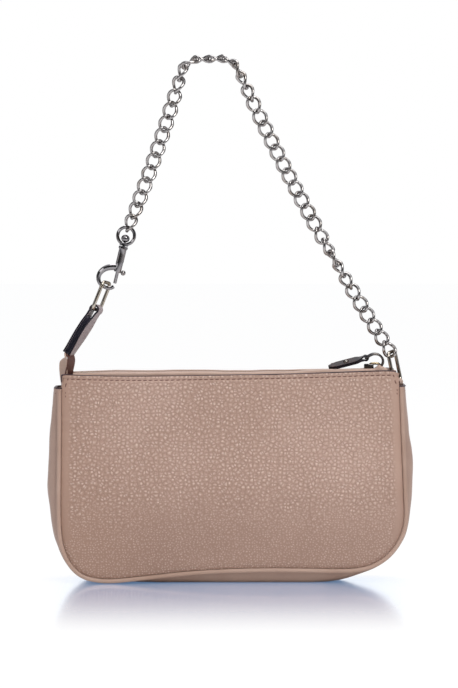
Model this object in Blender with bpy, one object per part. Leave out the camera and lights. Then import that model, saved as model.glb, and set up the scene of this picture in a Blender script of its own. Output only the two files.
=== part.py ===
"""A small zip-topped wrist bag on a curb-chain strap.

The chain is closed round a left ring by a swivel bolt snap and hangs on a right ring.
The frame is +Z up with the floor at zero, X along the bag and Y through its depth.
The pebbled back panel faces -Y.
"""

import math

import bmesh
import bpy
from mathutils import Matrix, Quaternion, Vector

MM = 0.001

# Bag body, as seen from the back panel's side
half_width = 98 * MM
panel_height = 118.5 * MM
panel_rise = 3 * MM
half_depth_low = 18 * MM
half_depth_top = 14 * MM
panel_thickness = 2.0 * MM
panel_crown = 2.4 * MM
leather_gap = 0.3 * MM
gusset_thickness = 1.4 * MM
gusset_swell = 10.6 * MM
gusset_edge_gap = 0.6 * MM
gusset_drop = 8.5 * MM
piping_radius = 1.3 * MM
piping_offset = 1.7 * MM
piping_side = 1.2 * MM
sole_height = 0.0 * MM
lining_thickness = 0.8 * MM
lining_clear = 0.5 * MM
lining_side_clear = 5.4 * MM
lining_floor = 11.5 * MM
lining_drop = 5.1 * MM
lining_corner = 5 * MM
# The lining's levels as shares of its height, and how far each is drawn in as a share of the corner
lining_level_shares = (0, 0.03, 0.1, 0.22, 0.4, 0.6, 0.8, 1)
lining_level_draws = (1.8, 1, 0.4, 0.1, 0, 0, 0, 0)

# Seam between panel and gusset: across in shares of half_width, up in shares of
# panel_height, then how far the gusset swells past it in shares of gusset_swell
seam_shares = (
    (-0.992, 0.994, 0.44),
    (-0.996, 0.920, 0.46),
    (-0.997, 0.740, 0.64),
    (-0.999, 0.560, 0.79),
    (-1.001, 0.400, 0.79),
    (-0.998, 0.250, 0.60),
    (-0.983, 0.160, 0.46),
    (-0.946, 0.086, 0.40),
    (-0.892, 0.036, 0.36),
    (-0.820, 0.010, 0.33),
    (-0.700, 0.002, 0.32),
    (-0.500, 0.018, 0.58),
    (-0.250, 0.040, 0.82),
    (0.000, 0.052, 0.96),
    (0.250, 0.056, 1.00),
    (0.480, 0.054, 0.98),
    (0.650, 0.052, 0.78),
    (0.765, 0.058, 0.50),
    (0.850, 0.080, 0.42),
    (0.920, 0.118, 0.40),
    (0.975, 0.172, 0.39),
    (1.010, 0.235, 0.39),
    (1.024, 0.310, 0.43),
    (1.020, 0.400, 0.55),
    (1.013, 0.550, 0.70),
    (1.006, 0.690, 0.57),
    (0.998, 0.860, 0.45),
    (0.996, 0.925, 0.42),
    (0.992, 1.003, 0.40),
)
seam_stations = 46
# The panel's top edge: across in shares of half_width, up in shares of panel_height
top_edge_shares = (
    (0.972, 1.013), (0.900, 1.015), (0.700, 1.010), (0.450, 1.003), (0.200, 0.998),
    (0.000, 0.996), (-0.300, 0.992), (-0.600, 0.990), (-0.850, 0.993), (-0.970, 0.997),
)
ring_shares = (1.0, 0.93, 0.75, 0.45)
gusset_side_shares = (-1, -0.88, -0.62, -0.3, 0, 0.3, 0.62, 0.88, 1)
gusset_roundness_share = 0.62
gusset_flatness = 5

# Zip along the bag's mouth. All that stands above the bag is measured from its height.
zip_drop = 0.1 * MM
zip_height = panel_rise + panel_height - zip_drop
zip_left_inset = 6.5 * MM
zip_right_inset = 5.4 * MM
zip_left = zip_left_inset - half_width
zip_right = half_width - zip_right_inset
facing_thickness = 1.4 * MM
facing_inner = 4.7 * MM
facing_lap = 1.6 * MM
facing_tuck = 6 * MM
tape_thickness = 0.6 * MM
tape_inner = 2.9 * MM
tape_outer = 9.6 * MM
tooth_pitch = 2.8 * MM
tooth_width = 1.1 * MM
tooth_height = 1.8 * MM
tooth_reach = 0.6 * MM
tooth_neck = 1.8 * MM
tooth_root = 2.6 * MM
zip_clear = 0.3 * MM
slider_inset = 9.4 * MM
slider_centre = zip_right - slider_inset
slider_length = 11 * MM
slider_half_width = 4.2 * MM
slider_nose_half = 3.0 * MM
slider_plate = 1.0 * MM
slider_flange = 0.9 * MM
slider_wedge = 1.2 * MM
slider_wedge_half = 0.7 * MM
crown_wire = 0.7 * MM
crown_half = 2.9 * MM
crown_height = 2.6 * MM
crown_shift = 1.2 * MM
crown_shares = ((-1, 0), (-0.97, 0.55), (-0.72, 0.93), (-0.3, 1), (0.3, 1), (0.72, 0.93), (0.97, 0.55), (1, 0))
end_tab_length = 3.6 * MM
end_tab_half = 4.0 * MM
end_tab_thickness = 2.6 * MM
stop_length = 2.0 * MM

# Pull: a bent wire bail through the slider's crown and a riveted leather tab on the bail
pull_wire = 0.65 * MM
pull_near_half = 2.2 * MM
pull_far_half = 4.0 * MM
pull_cut = 0.9 * MM
# The bail's side view, from its bar in the crown: along the zip and up
pull_points = (
    (0.0 * MM, 0.0 * MM),
    (1.9 * MM, 0.9 * MM),
    (3.0 * MM, 2.9 * MM),
    (2.4 * MM, 5.4 * MM),
    (0.2 * MM, 7.2 * MM),
    (-2.6 * MM, 7.4 * MM),
    (-4.8 * MM, 6.6 * MM),
    (-6.3 * MM, 5.8 * MM),
)
pull_tab_length = 20.2 * MM
pull_tab_width = 5.9 * MM
pull_tab_split = 0.3 * MM
pull_tab_droop = 14.5
pull_tab_hole = 1.0 * MM
pull_tab_layer = 0.9 * MM
pull_tab_grip = 3.4 * MM
rivet_radius = 1.7 * MM
rivet_head = 0.7 * MM
rivet_stem = 0.7 * MM
rivet_share = 0.58
rivet_dome_share = 0.6

# Chain of twisted curb links along a route in the plane of symmetry
chain_links = 42
link_wire = 0.95 * MM
link_half_width = 3.7 * MM
link_gap = 0.4 * MM
pair_bite = 0.16 * MM
link_twist = 45
link_steps = 14
link_sides = 6
left_top_x = -26.6 * MM
left_top_lift = 182.8 * MM
right_top_x = 1.4 * MM
right_top_lift = 183.8 * MM
left_sag = 1.6 * MM
right_sag = 3.9 * MM
route_bend = 8 * MM
# Turn of each link's flat about the run, in degrees, at these links
link_turns = (
    (1, -45), (4, 0), (10, 0), (14, -90), (18, -90), (22, -180), (31, -180),
    (34, -270), (38, -360), (39, -360), (42, -392),
)

# Rings of round wire, square-shouldered so that a strap lies flat in them
ring_wire = 1.05 * MM
ring_half_width = 6.4 * MM
ring_corner = 3.0 * MM
right_ring_length = 18.2 * MM
right_ring_inset = 3.9 * MM
right_ring_lift = 12.5 * MM
right_ring_lean = -11.8
right_ring_yaw = 10
open_pivot_gap = 0.6 * MM
left_ring_length = 17 * MM
left_ring_inset = 25.7 * MM
left_ring_lift = 53 * MM
left_ring_lean = 22
left_yaw = 25

# Leather that carries the rings
strap_hole = 1.5 * MM
strap_width = 8.4 * MM
tab_layer = 1.2 * MM
tab_length = 29.3 * MM
tab_lean = 33.8
tab_split = 2.7 * MM
loop_tail = 12 * MM
loop_layer = 1.3 * MM
loop_split = 0.3 * MM
loop_width = 7.2 * MM
base_layer = 0.8 * MM
base_split = 0.2 * MM
base_width = 7.6 * MM
base_tongue = 6 * MM
base_drop = 18.4 * MM
# The base strap's two legs, from the tongue down into the bag: in from the panel's
# left edge and up from the zip, in shares of base_drop
base_outer_leg = (
    (0.038, 0.587),
    (-0.0815, 0.3913),
    (-0.0761, 0.1739),
    (0.0, -0.087),
    (-0.0272, -0.3587),
    (-0.087, -0.6739),
    (-0.125, -1.0),
)
base_inner_leg = (
    (0.2446, 0.5543),
    (0.2772, 0.3587),
    (0.2391, 0.1304),
    (0.1304, -0.1087),
    (0.0543, -0.3587),
    (-0.0109, -0.6739),
    (-0.0489, -1.0),
)

# Bolt snap: shank with a sprung bolt, a tapered arm and a post that carries the eye
snap_inset = 35.5 * MM
snap_lift = 74.2 * MM
snap_lean = 13.5
flange_radius = 2.7 * MM
flange_height = 1.5 * MM
shank_radius = 2.2 * MM
shank_bore = 1.4 * MM
shank_length = 15.4 * MM
shank_roof = 3.2 * MM
post_radius = 0.85 * MM
post_ball = 2.3 * MM
post_gap = 2.6 * MM
bolt_radius = 0.95 * MM
bolt_collar = 1.15 * MM
bolt_collar_height = 1.6 * MM
bolt_tip = 22.3 * MM
bolt_top = 9.8 * MM
bolt_travel = 3.4 * MM
knob_radius = 1.2 * MM
knob_stem = 0.55 * MM
knob_out = 3.6 * MM
knob_down = 13.9 * MM
slot_clear = 0.3 * MM
spring_wire = 0.25 * MM
spring_radius = 0.9 * MM
spring_turns = 5
spring_gap = 0.35 * MM
arm_root_radius = 1.75 * MM
arm_tip_radius = 1.15 * MM
# The arm's middle line, out from the shank's axis and down from the flange
arm_points = (
    (1.0 * MM, 12.2 * MM),
    (4.2 * MM, 13.2 * MM),
    (7.4 * MM, 15.2 * MM),
    (9.3 * MM, 18.4 * MM),
    (9.3 * MM, 21.8 * MM),
    (7.4 * MM, 24.4 * MM),
    (4.4 * MM, 25.6 * MM),
    (1.6 * MM, 25.3 * MM),
    (0.1 * MM, 24.0 * MM),
)

# Swivel eye on the snap's post
eye_wire = 1.0 * MM
eye_half_width = 4.9 * MM
eye_half_height = 5.1 * MM
eye_base_radius = 2.6 * MM
eye_base_height = 2.0 * MM
eye_base_lift = 0.3 * MM
eye_hole = 1.15 * MM

# Edges sharper than this are shaded as edges, in degrees
sharp_edge = 40

# Colours, roughness and metallic value of each finish
finishes = {
    "leather_panel": ((0.45, 0.30, 0.23), 0.50, 0.0),
    "leather_smooth": ((0.42, 0.28, 0.21), 0.42, 0.0),
    "leather_dark": ((0.05, 0.03, 0.04), 0.40, 0.0),
    "lining_cloth": ((0.30, 0.24, 0.20), 0.90, 0.0),
    "zip_cloth": ((0.36, 0.25, 0.19), 0.85, 0.0),
    "zip_metal": ((0.80, 0.68, 0.48), 0.28, 1.0),
    "chain_metal": ((0.83, 0.74, 0.60), 0.20, 1.0),
    "snap_metal": ((0.78, 0.70, 0.58), 0.18, 1.0),
    "spring_steel": ((0.60, 0.60, 0.60), 0.35, 1.0),
}


def clear_scene():
    for old in list(bpy.data.objects):
        bpy.data.objects.remove(old, do_unlink=True)


def finish(name):
    """The named finish as a material, made once."""
    if name in bpy.data.materials:
        return bpy.data.materials[name]
    colour, rough, metal = finishes[name]
    made = bpy.data.materials.new(name)
    made.use_nodes = True
    shader = made.node_tree.nodes["Principled BSDF"]
    shader.inputs["Base Color"].default_value = (*colour, 1)
    shader.inputs["Roughness"].default_value = rough
    shader.inputs["Metallic"].default_value = metal
    return made


def solid(name, points, faces, material, pivot=None):
    """One object from points and faces, its faces turned out, its origin at the pivot."""
    mesh = bpy.data.meshes.new(name)
    work = bmesh.new()
    corners = [work.verts.new(p) for p in points]
    for face in faces:
        work.faces.new([corners[i] for i in face])
    bmesh.ops.recalc_face_normals(work, faces=work.faces)
    work.to_mesh(mesh)
    work.free()
    mesh.shade_smooth()
    mesh.set_sharp_from_angle(angle=math.radians(sharp_edge))
    made = bpy.data.objects.new(name, mesh)
    bpy.context.scene.collection.objects.link(made)
    mesh.materials.append(finish(material))
    if pivot is not None:
        mesh.transform(Matrix.Translation(-pivot))
        made.location = pivot
    return made


def combine(body, shape, material, operation="UNION"):
    """Join a (points, faces) shape to a body, or cut it away."""
    tool = solid(f"{body.name}_tool", *shape, material)
    step = body.modifiers.new("combine", "BOOLEAN")
    step.operation = operation
    step.object = tool
    with bpy.context.temp_override(object=body):
        bpy.ops.object.modifier_apply(modifier=step.name)
    bpy.data.objects.remove(tool, do_unlink=True)
    body.data.shade_smooth()
    body.data.set_sharp_from_angle(angle=math.radians(sharp_edge))


def rings_to_faces(rings, size, closed):
    """Faces between rings of points, each ring holding size points."""
    faces = []
    for i in range(rings if closed else rings - 1):
        j = (i + 1) % rings
        for k in range(size):
            m = (k + 1) % size
            faces.append((i * size + k, j * size + k, j * size + m, i * size + m))
    if not closed:
        faces.append(tuple(range(size)))
        faces.append(tuple((rings - 1) * size + k for k in range(size)))
    return faces


def tube(path, radii, sides, closed, hint):
    """A round tube along a path. hint is a direction that the path never runs along."""
    count = len(path)
    points = []
    for i, at in enumerate(path):
        ahead = path[(i + 1) % count] if closed or i < count - 1 else at
        behind = path[i - 1] if closed or i else at
        along = (ahead - behind).normalized()
        across = along.cross(hint[i] if isinstance(hint, list) else hint).normalized()
        over = along.cross(across)
        radius = radii[i] if isinstance(radii, list) else radii
        for k in range(sides):
            turn = 2 * math.pi * k / sides
            points.append(at + radius * (math.cos(turn) * across + math.sin(turn) * over))
    return points, rings_to_faces(count, sides, closed)


def lathe(profile, base, axis, sides):
    """A turned body: profile holds (radius, height) pairs, from the axis back to the axis or a closed ring."""
    across = axis.orthogonal().normalized()
    over = axis.cross(across)
    whole = all(radius > 0 for radius, _ in profile)
    points, starts = [], []
    for radius, height in profile:
        starts.append(len(points))
        if radius == 0:
            points.append(base + axis * height)
            continue
        for k in range(sides):
            turn = 2 * math.pi * k / sides
            out = math.cos(turn) * across + math.sin(turn) * over
            points.append(base + axis * height + radius * out)
    faces = []
    pairs = list(zip(range(len(profile)), range(1, len(profile))))
    if whole:
        pairs.append((len(profile) - 1, 0))
    for i, j in pairs:
        for k in range(sides):
            m = (k + 1) % sides
            low = (starts[i],) if profile[i][0] == 0 else (starts[i] + k, starts[i] + m)
            high = (starts[j],) if profile[j][0] == 0 else (starts[j] + m, starts[j] + k)
            faces.append(low + high)
    return points, faces


def block(low, high):
    """A rectangular block between two corners."""
    points = [Vector((x, y, z)) for x in (low[0], high[0]) for y in (low[1], high[1]) for z in (low[2], high[2])]
    return points, [(0, 1, 3, 2), (4, 6, 7, 5), (0, 4, 5, 1), (2, 3, 7, 6), (0, 2, 6, 4), (1, 5, 7, 3)]


def prism(outline, start, run):
    """An outline of points carried along run."""
    count = len(outline)
    points = [start + p for p in outline] + [start + p + run for p in outline]
    faces = [tuple(range(count)), tuple(range(count, 2 * count))]
    faces += [(k, (k + 1) % count, count + (k + 1) % count, count + k) for k in range(count)]
    return points, faces


def strip(path, thickness, width, side):
    """A flat leather strip along a path. side is its width's direction, one for all or one each."""
    points = []
    for i, at in enumerate(path):
        wide = side[i] if isinstance(side, list) else side
        along = (path[min(i + 1, len(path) - 1)] - path[max(i - 1, 0)]).normalized()
        out = wide.cross(along).normalized() * thickness / 2
        for s, t in ((-1, -1), (1, -1), (1, 1), (-1, 1)):
            points.append(at + s * out + t * wide * width / 2)
    return points, rings_to_faces(len(path), 4, False)


def arc(centre, radius, first, last, steps, right, up):
    """Points on an arc in the plane of right and up, angles in degrees."""
    found = []
    for i in range(steps + 1):
        turn = math.radians(first + (last - first) * i / steps)
        found.append(centre + radius * (math.cos(turn) * right + math.sin(turn) * up))
    return found


def smooth_through(table, count):
    """A smooth curve through a table of rows, as count evenly spread rows."""
    rows = [tuple(2 * a - b for a, b in zip(table[0], table[1])), *table]
    rows.append(tuple(2 * a - b for a, b in zip(table[-1], table[-2])))
    found = []
    for n in range(count):
        at = n / (count - 1) * (len(table) - 1)
        i = min(int(at), len(table) - 2)
        u = at - i
        p0, p1, p2, p3 = rows[i : i + 4]
        found.append(
            tuple(
                b + u / 2 * (c - a + u * (2 * a - 5 * b + 4 * c - d + u * (3 * (b - c) + d - a)))
                for a, b, c, d in zip(p0, p1, p2, p3)
            )
        )
    return found


def half_depth(z):
    """How far the seam lies from the plane of symmetry at a height."""
    share = min(max(z / panel_height, 0), 1)
    return half_depth_low + (half_depth_top - half_depth_low) * share


def seam():
    """The seam's stations: (x, z, swell)."""
    return [
        (x * half_width, panel_rise + z * panel_height, s * gusset_swell)
        for x, z, s in smooth_through(seam_shares, seam_stations)
    ]


def outward(line, i):
    """The direction out of the bag, square to the seam at station i, in X and Z."""
    ahead, behind = line[min(i + 1, len(line) - 1)], line[max(i - 1, 0)]
    along = Vector((ahead[0] - behind[0], 0, ahead[1] - behind[1])).normalized()
    return Vector((along.z, 0, -along.x))


def panel(name, side):
    """A stiffened leather panel, crowned outwards, inside the seam."""
    line = seam()
    outline = [Vector((x, 0, z)) - leather_gap * outward(line, i) for i, (x, z, _) in enumerate(line)]
    outline += [Vector((x * half_width, 0, panel_rise + z * panel_height)) for x, z in top_edge_shares]
    middle = Vector((0, 0, panel_rise + panel_height / 2))
    count = len(outline)
    points, faces = [], []
    for layer in (1, 0):
        for ring in ring_shares:
            for p in outline:
                at = middle + ring * (p - middle)
                out = half_depth(at.z) + panel_crown * (1 - ring**2) + layer * panel_thickness
                points.append(Vector((at.x, side * out, at.z)))
        points.append(middle + Vector((0, side * (half_depth(middle.z) + panel_crown + layer * panel_thickness), 0)))
    sheet = count * len(ring_shares) + 1
    for layer in (0, 1):
        start = layer * sheet
        for r in range(len(ring_shares) - 1):
            for k in range(count):
                m = (k + 1) % count
                low, high_row = start + r * count, start + (r + 1) * count
                faces.append((low + k, low + m, high_row + m, high_row + k))
        last = start + (len(ring_shares) - 1) * count
        faces += [(last + k, last + (k + 1) % count, start + sheet - 1) for k in range(count)]
    faces += [(k, (k + 1) % count, sheet + (k + 1) % count, sheet + k) for k in range(count)]
    return solid(name, points, faces, "leather_panel")


def gusset_line():
    """The seam's stations that the gusset covers, cut off level below the panels' top."""
    top = panel_rise + panel_height - gusset_drop
    line = seam()
    low = [i for i, (_, z, _) in enumerate(line) if z < top]
    ends = []
    for inside, outside in ((low[0], low[0] - 1), (low[-1], low[-1] + 1)):
        share = (top - line[inside][1]) / (line[outside][1] - line[inside][1])
        ends.append(tuple(a + (b - a) * share for a, b in zip(line[inside], line[outside])))
    return [ends[0]] + [line[i] for i in low] + [ends[1]]


def gusset():
    """The side and bottom leather, swelling past the seams and pressed flat on the floor."""
    line = gusset_line()
    points = []
    for i, (x, z, swell) in enumerate(line):
        out = outward(line, i)
        reach = half_depth(z) - gusset_edge_gap
        for inner in (0, 1):
            order = gusset_side_shares[:: -1 if inner else 1]
            for v in order:
                full = (1 - abs(v) ** gusset_flatness) ** gusset_roundness_share
                at = Vector((x, 0, z)) + out * (swell * full - inner * gusset_thickness)
                floor = sole_height + inner * gusset_thickness
                points.append(Vector((at.x, v * reach, max(at.z, floor))))
    size = 2 * len(gusset_side_shares)
    return solid("gusset", points, rings_to_faces(len(line), size, False), "leather_smooth")


def piping(name, side):
    """A leather-covered cord along the seam, just outside it."""
    line = gusset_line()
    path = []
    for i, (x, z, _) in enumerate(line):
        out = outward(line, i)
        at = Vector((x, 0, z)) + out * piping_offset
        low = sole_height + piping_radius
        path.append(Vector((at.x, side * (half_depth(z) + piping_side), max(at.z, low))))
    points, faces = tube(path, piping_radius, 6, False, Vector((0, 1, 0)))
    return solid(name, points, faces, "leather_smooth")


def seam_sides(z):
    """Where the seam lies left and right at a height."""
    line = seam()
    found = []
    for side in (-1, 1):
        half = [p for p in line if p[0] * side > 0]
        nearest = sorted(half, key=lambda p: abs(p[1] - z))[:2]
        (x0, z0, _), (x1, z1, _) = nearest
        share = 0 if z1 == z0 else min(max((z - z0) / (z1 - z0), -1), 1)
        found.append(x0 + (x1 - x0) * share)
    return found


def lining_rings(inset):
    """Rounded rectangles up the bag's inside, drawn in by inset."""
    top = zip_height - lining_drop
    low = lining_floor + inset
    rings = []
    for share, draw in zip(lining_level_shares, lining_level_draws):
        drawn = draw * lining_corner
        z = low + (top - low) * share
        left, right = seam_sides(z)
        left += lining_side_clear + inset + drawn
        right -= lining_side_clear + inset + drawn
        deep = half_depth(z) - lining_clear - inset - drawn / 2
        bend = lining_corner - inset
        ring = []
        for cx, cy, first in ((right, deep, 0), (left, deep, 90), (left, -deep, 180), (right, -deep, 270)):
            inner = Vector((cx - math.copysign(bend, cx), cy - math.copysign(bend, cy), z))
            ring += arc(inner, bend, first, first + 90, 3, Vector((1, 0, 0)), Vector((0, 1, 0)))
        rings.append(ring)
    return rings


def lining():
    """The cloth pouch inside, open at the top."""
    outer, inner = lining_rings(0), lining_rings(lining_thickness)
    rings = outer + inner[::-1]
    size = len(outer[0])
    points = [p for ring in rings for p in ring]
    return solid("lining", points, rings_to_faces(len(rings), size, False), "lining_cloth")


def facing(name, side):
    """The leather strip from a panel's top edge over to the zip."""
    top = zip_height + tape_thickness / 2 + zip_clear + facing_thickness / 2
    edge = half_depth_top - leather_gap - facing_thickness / 2
    path = [
        Vector((zip_left, side * edge, top - facing_tuck)),
        Vector((zip_left, side * edge, top - facing_lap)),
        Vector((zip_left, side * (edge - facing_lap / 3), top - facing_lap / 3)),
        Vector((zip_left, side * (edge - facing_lap), top)),
        Vector((zip_left, side * facing_inner, top)),
    ]
    outline = []
    for offset in (-1, 1):
        row = []
        for i, at in enumerate(path):
            along = (path[min(i + 1, len(path) - 1)] - path[max(i - 1, 0)]).normalized()
            row.append(at + offset * Vector((1, 0, 0)).cross(along) * facing_thickness / 2)
        outline += row[:: offset * -1]
    points, faces = prism(outline, Vector((0, 0, 0)), Vector((zip_right - zip_left, 0, 0)))
    return solid(name, points, faces, "leather_smooth")


def tape(name, side):
    """The zip's cloth tape under the facing."""
    half = tape_thickness / 2
    low, high = sorted((side * tape_inner, side * tape_outer))
    points, faces = block((zip_left, low, zip_height - half), (zip_right, high, zip_height + half))
    return solid(name, points, faces, "zip_cloth")


def teeth(name, side):
    """One row of teeth, set between those of the other row."""
    right = slider_centre + slider_length / 2 - slider_wedge - zip_clear
    left = zip_left + end_tab_length + stop_length
    first = left + (tooth_pitch / 2 if side > 0 else 0)
    outline = [Vector((left, side * tooth_root, 0))]
    outline.append(Vector((left, side * tooth_neck, 0)))
    at = first + zip_clear
    while at + tooth_width < right:
        outline.append(Vector((at, side * tooth_neck, 0)))
        outline.append(Vector((at + tooth_width / 8, -side * tooth_reach, 0)))
        outline.append(Vector((at + tooth_width * 7 / 8, -side * tooth_reach, 0)))
        outline.append(Vector((at + tooth_width, side * tooth_neck, 0)))
        at += tooth_pitch
    outline.append(Vector((right, side * tooth_neck, 0)))
    outline.append(Vector((right, side * tooth_root, 0)))
    start = Vector((0, 0, zip_height - tooth_height / 2))
    points, faces = prism(outline, start, Vector((0, 0, tooth_height)))
    return solid(name, points, faces, "zip_metal")


def zip_stop():
    """The metal stop at the left end of the teeth."""
    left = zip_left + end_tab_length + zip_clear
    half = tooth_height / 2
    right = left + stop_length - 2 * zip_clear
    points, faces = block((left, -tooth_root, zip_height - half), (right, tooth_root, zip_height + half))
    return solid("zip_stop", points, faces, "zip_metal")


def end_tab(name, side):
    """A folded leather end on the zip, wedge-shaped towards the teeth."""
    end = zip_right + zip_clear if side > 0 else zip_left - zip_clear
    tip = end - side * end_tab_length
    rise = tape_thickness / 2 + zip_clear
    high = zip_height + end_tab_thickness
    outline = [
        Vector((tip, 0, zip_height + rise)),
        Vector((end, 0, zip_height + rise)),
        Vector((end, 0, high)),
        Vector((tip + side * end_tab_length / 3, 0, high)),
    ]
    points, faces = prism(outline, Vector((0, -end_tab_half, 0)), Vector((0, 2 * end_tab_half, 0)))
    return solid(name, points, faces, "leather_smooth")


def slider_plate_shape(low, high):
    """One plate of the slider, narrower at its closed end."""
    x0, x1 = slider_centre - slider_length / 2, slider_centre + slider_length / 2
    outline = [
        Vector((x0, -slider_nose_half, 0)),
        Vector((x0 + slider_nose_half, -slider_half_width, 0)),
        Vector((x1, -slider_half_width, 0)),
        Vector((x1, slider_half_width, 0)),
        Vector((x0 + slider_nose_half, slider_half_width, 0)),
        Vector((x0, slider_nose_half, 0)),
    ]
    return prism(outline, Vector((0, 0, zip_height + low)), Vector((0, 0, high - low)))


def slider():
    """The zip slider: two plates with inturned edges, a wedge between them and a crown on top."""
    inside = tooth_height / 2 + zip_clear
    outside = inside + slider_plate
    x0, x1 = slider_centre - slider_length / 2, slider_centre + slider_length / 2
    body = solid("zip_slider", *slider_plate_shape(inside, outside), "zip_metal")
    additions = [slider_plate_shape(-outside, -inside)]
    additions.append(
        block(
            (x1 - slider_wedge, -slider_wedge_half, zip_height - outside + slider_plate / 2),
            (x1, slider_wedge_half, zip_height + outside - slider_plate / 2),
        )
    )
    lap = slider_plate / 2
    edge = tape_thickness / 2 + zip_clear
    for side in (-1, 1):
        low, high = sorted((side * (slider_half_width - slider_flange), side * slider_half_width))
        for level in (-1, 1):
            z0, z1 = sorted((zip_height + level * edge, zip_height + level * (inside + lap)))
            additions.append(block((x0 + slider_nose_half, low, z0), (x1, high, z1)))
    base = zip_height + outside
    middle = slider_centre + crown_shift
    path = []
    for share, rise_share in crown_shares:
        path.append(Vector((middle + share * crown_half, 0, base + rise_share * crown_height)))
    path[0].z -= lap
    path[-1].z -= lap
    additions.append(tube(path, crown_wire, 6, False, Vector((0, 1, 0))))
    for shape in additions:
        combine(body, shape, "zip_metal")
    return body


def pull_hinge():
    """The middle of the bail's bar, at the closed end of the crown's tunnel."""
    base = zip_height + tooth_height / 2 + zip_clear + slider_plate
    along = slider_centre + crown_shift + crown_half - crown_wire - pull_wire - 2 * zip_clear
    return Vector((along, 0, base + zip_clear + pull_wire))


def pull_ring():
    """The bent wire bail: two splayed legs between a bar in the crown and a bar in the tab."""
    hinge = pull_hinge()
    rows = smooth_through(pull_points, 11)
    last = len(rows) - 1
    path, hints = [], []
    for side, order in ((-1, range(last + 1)), (1, range(last, -1, -1))):
        for i in order:
            x, z = rows[i]
            wide = pull_near_half + (pull_far_half - pull_near_half) * i / last
            before, after = rows[max(i - 1, 0)], rows[min(i + 1, last)]
            along = Vector((after[0] - before[0], 0, after[1] - before[1])).normalized()
            square = Vector((along.z, 0, -along.x))
            at = hinge + Vector((x, side * wide, z))
            inward = along if i == 0 else -along
            if i in (0, last):
                corner = [at + inward * pull_cut, at + Vector((0, -side * pull_cut, 0))]
                path += corner if (side < 0) == (i == last) else corner[::-1]
                hints += [square, square]
            else:
                path.append(at)
                hints.append(square)
    points, faces = tube(path, pull_wire, 6, True, hints)
    return solid("pull_ring", points, faces, "zip_metal", hinge)


def pull_tab_frame():
    """The pull tab's hinge point, its direction away from the bail and its thickness direction."""
    x, z = pull_points[-1]
    hinge = pull_hinge() + Vector((x, 0, z))
    droop = math.radians(pull_tab_droop)
    away = Vector((-math.cos(droop), 0, -math.sin(droop)))
    return hinge, away, Vector((-math.sin(droop), 0, math.cos(droop)))


def rivet_middle():
    hinge, away, up = pull_tab_frame()
    return hinge + away * pull_tab_length * rivet_share, up


def pull_tab():
    """A leather tab folded round the pull ring's wire, its two layers drilled for the rivet."""
    hinge, away, up = pull_tab_frame()
    bend = pull_tab_hole + pull_tab_layer / 2
    half = (pull_tab_layer + pull_tab_split) / 2
    tail = hinge + away * pull_tab_length
    grip = hinge + away * pull_tab_grip
    path = [tail + up * half, grip + up * half]
    path += arc(hinge, bend, 130, -130, 10, -away, up)
    path += [grip - up * half, tail - up * half]
    body = strip(path, pull_tab_layer, pull_tab_width, Vector((0, 1, 0)))
    tab = solid("pull_tab", *body, "leather_dark", hinge)
    middle, _ = rivet_middle()
    wide = rivet_stem + zip_clear
    through = pull_tab_width
    hole = [(0, -through), (wide, -through), (wide, through), (0, through)]
    combine(tab, lathe(hole, middle, up, 8), "leather_dark", "DIFFERENCE")
    return tab


def pull_rivet():
    """The rivet through the pull tab: a stem with a domed head on each face."""
    middle, up = rivet_middle()
    face = pull_tab_split / 2 + pull_tab_layer + zip_clear
    half = [(rivet_stem, face), (rivet_radius, face), (rivet_radius * rivet_dome_share, face + rivet_head)]
    profile = [(0, -face - rivet_head)]
    profile += [(radius, -height) for radius, height in half[::-1]]
    profile += half
    profile.append((0, face + rivet_head))
    return solid("pull_rivet", *lathe(profile, middle, up, 10), "zip_metal")


def turned_frame(x, z, lean, yaw):
    """A ring's frame: its middle-top point, its long direction and its cross direction."""
    tip, turn = math.radians(lean), math.radians(yaw)
    down = Vector((-math.sin(tip), 0, -math.cos(tip)))
    cross = Vector((math.sin(turn), math.cos(turn), 0))
    cross = (cross - down * cross.dot(down)).normalized()
    return Vector((x, 0, z)), down, cross


def ring(name, at, down, cross, length, pivot):
    """A ring of round wire with straight ends."""
    half = ring_half_width - ring_corner
    path = []
    for centre, first in (
        (at + down * ring_corner + cross * half, 0),
        (at + down * ring_corner - cross * half, 90),
        (at + down * (length - ring_corner) - cross * half, 180),
        (at + down * (length - ring_corner) + cross * half, 270),
    ):
        path += arc(centre, ring_corner, first, first + 90, 4, cross, -down)
    points, faces = tube(path, ring_wire, 8, True, down.cross(cross))
    return solid(name, points, faces, "chain_metal", pivot)


def right_ring_frame():
    return turned_frame(half_width - right_ring_inset, zip_height + right_ring_lift, right_ring_lean, right_ring_yaw)


def left_ring_frame():
    return turned_frame(left_ring_inset - half_width, zip_height + left_ring_lift, left_ring_lean, left_yaw)


def right_ring():
    at, down, cross = right_ring_frame()
    return ring("right_ring", at, down, cross, right_ring_length, at + down * right_ring_length)


def left_ring():
    at, down, cross = left_ring_frame()
    return ring("left_ring", at, down, cross, left_ring_length, at + down * left_ring_length)


def folded_strap(name, hinge, down, cross, sizes, material):
    """A strap folded round a ring's bar, its two tails running down side by side."""
    layer, length, split, width = sizes
    out = cross.cross(down).normalized()
    bend = strap_hole + layer / 2
    half = (layer + split) / 2
    path = [hinge + down * length + out * half, hinge + down * 2 * bend + out * half]
    path += arc(hinge, bend, -35, 215, 10, out, -down)
    path += [hinge + down * 2 * bend - out * half, hinge + down * length - out * half]
    return solid(name, *strip(path, layer, width, cross), material)


def right_loop():
    """The leather loop that carries the right ring, its tails sewn inside the gusset."""
    at, down, cross = right_ring_frame()
    hinge = at + down * right_ring_length
    tail = Vector((0, 0, -1))
    cross = Vector((cross.x, cross.y, 0)).normalized()
    sizes = (loop_layer, loop_tail, loop_split, loop_width)
    return folded_strap("right_loop", hinge, tail, cross, sizes, "leather_smooth")


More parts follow.
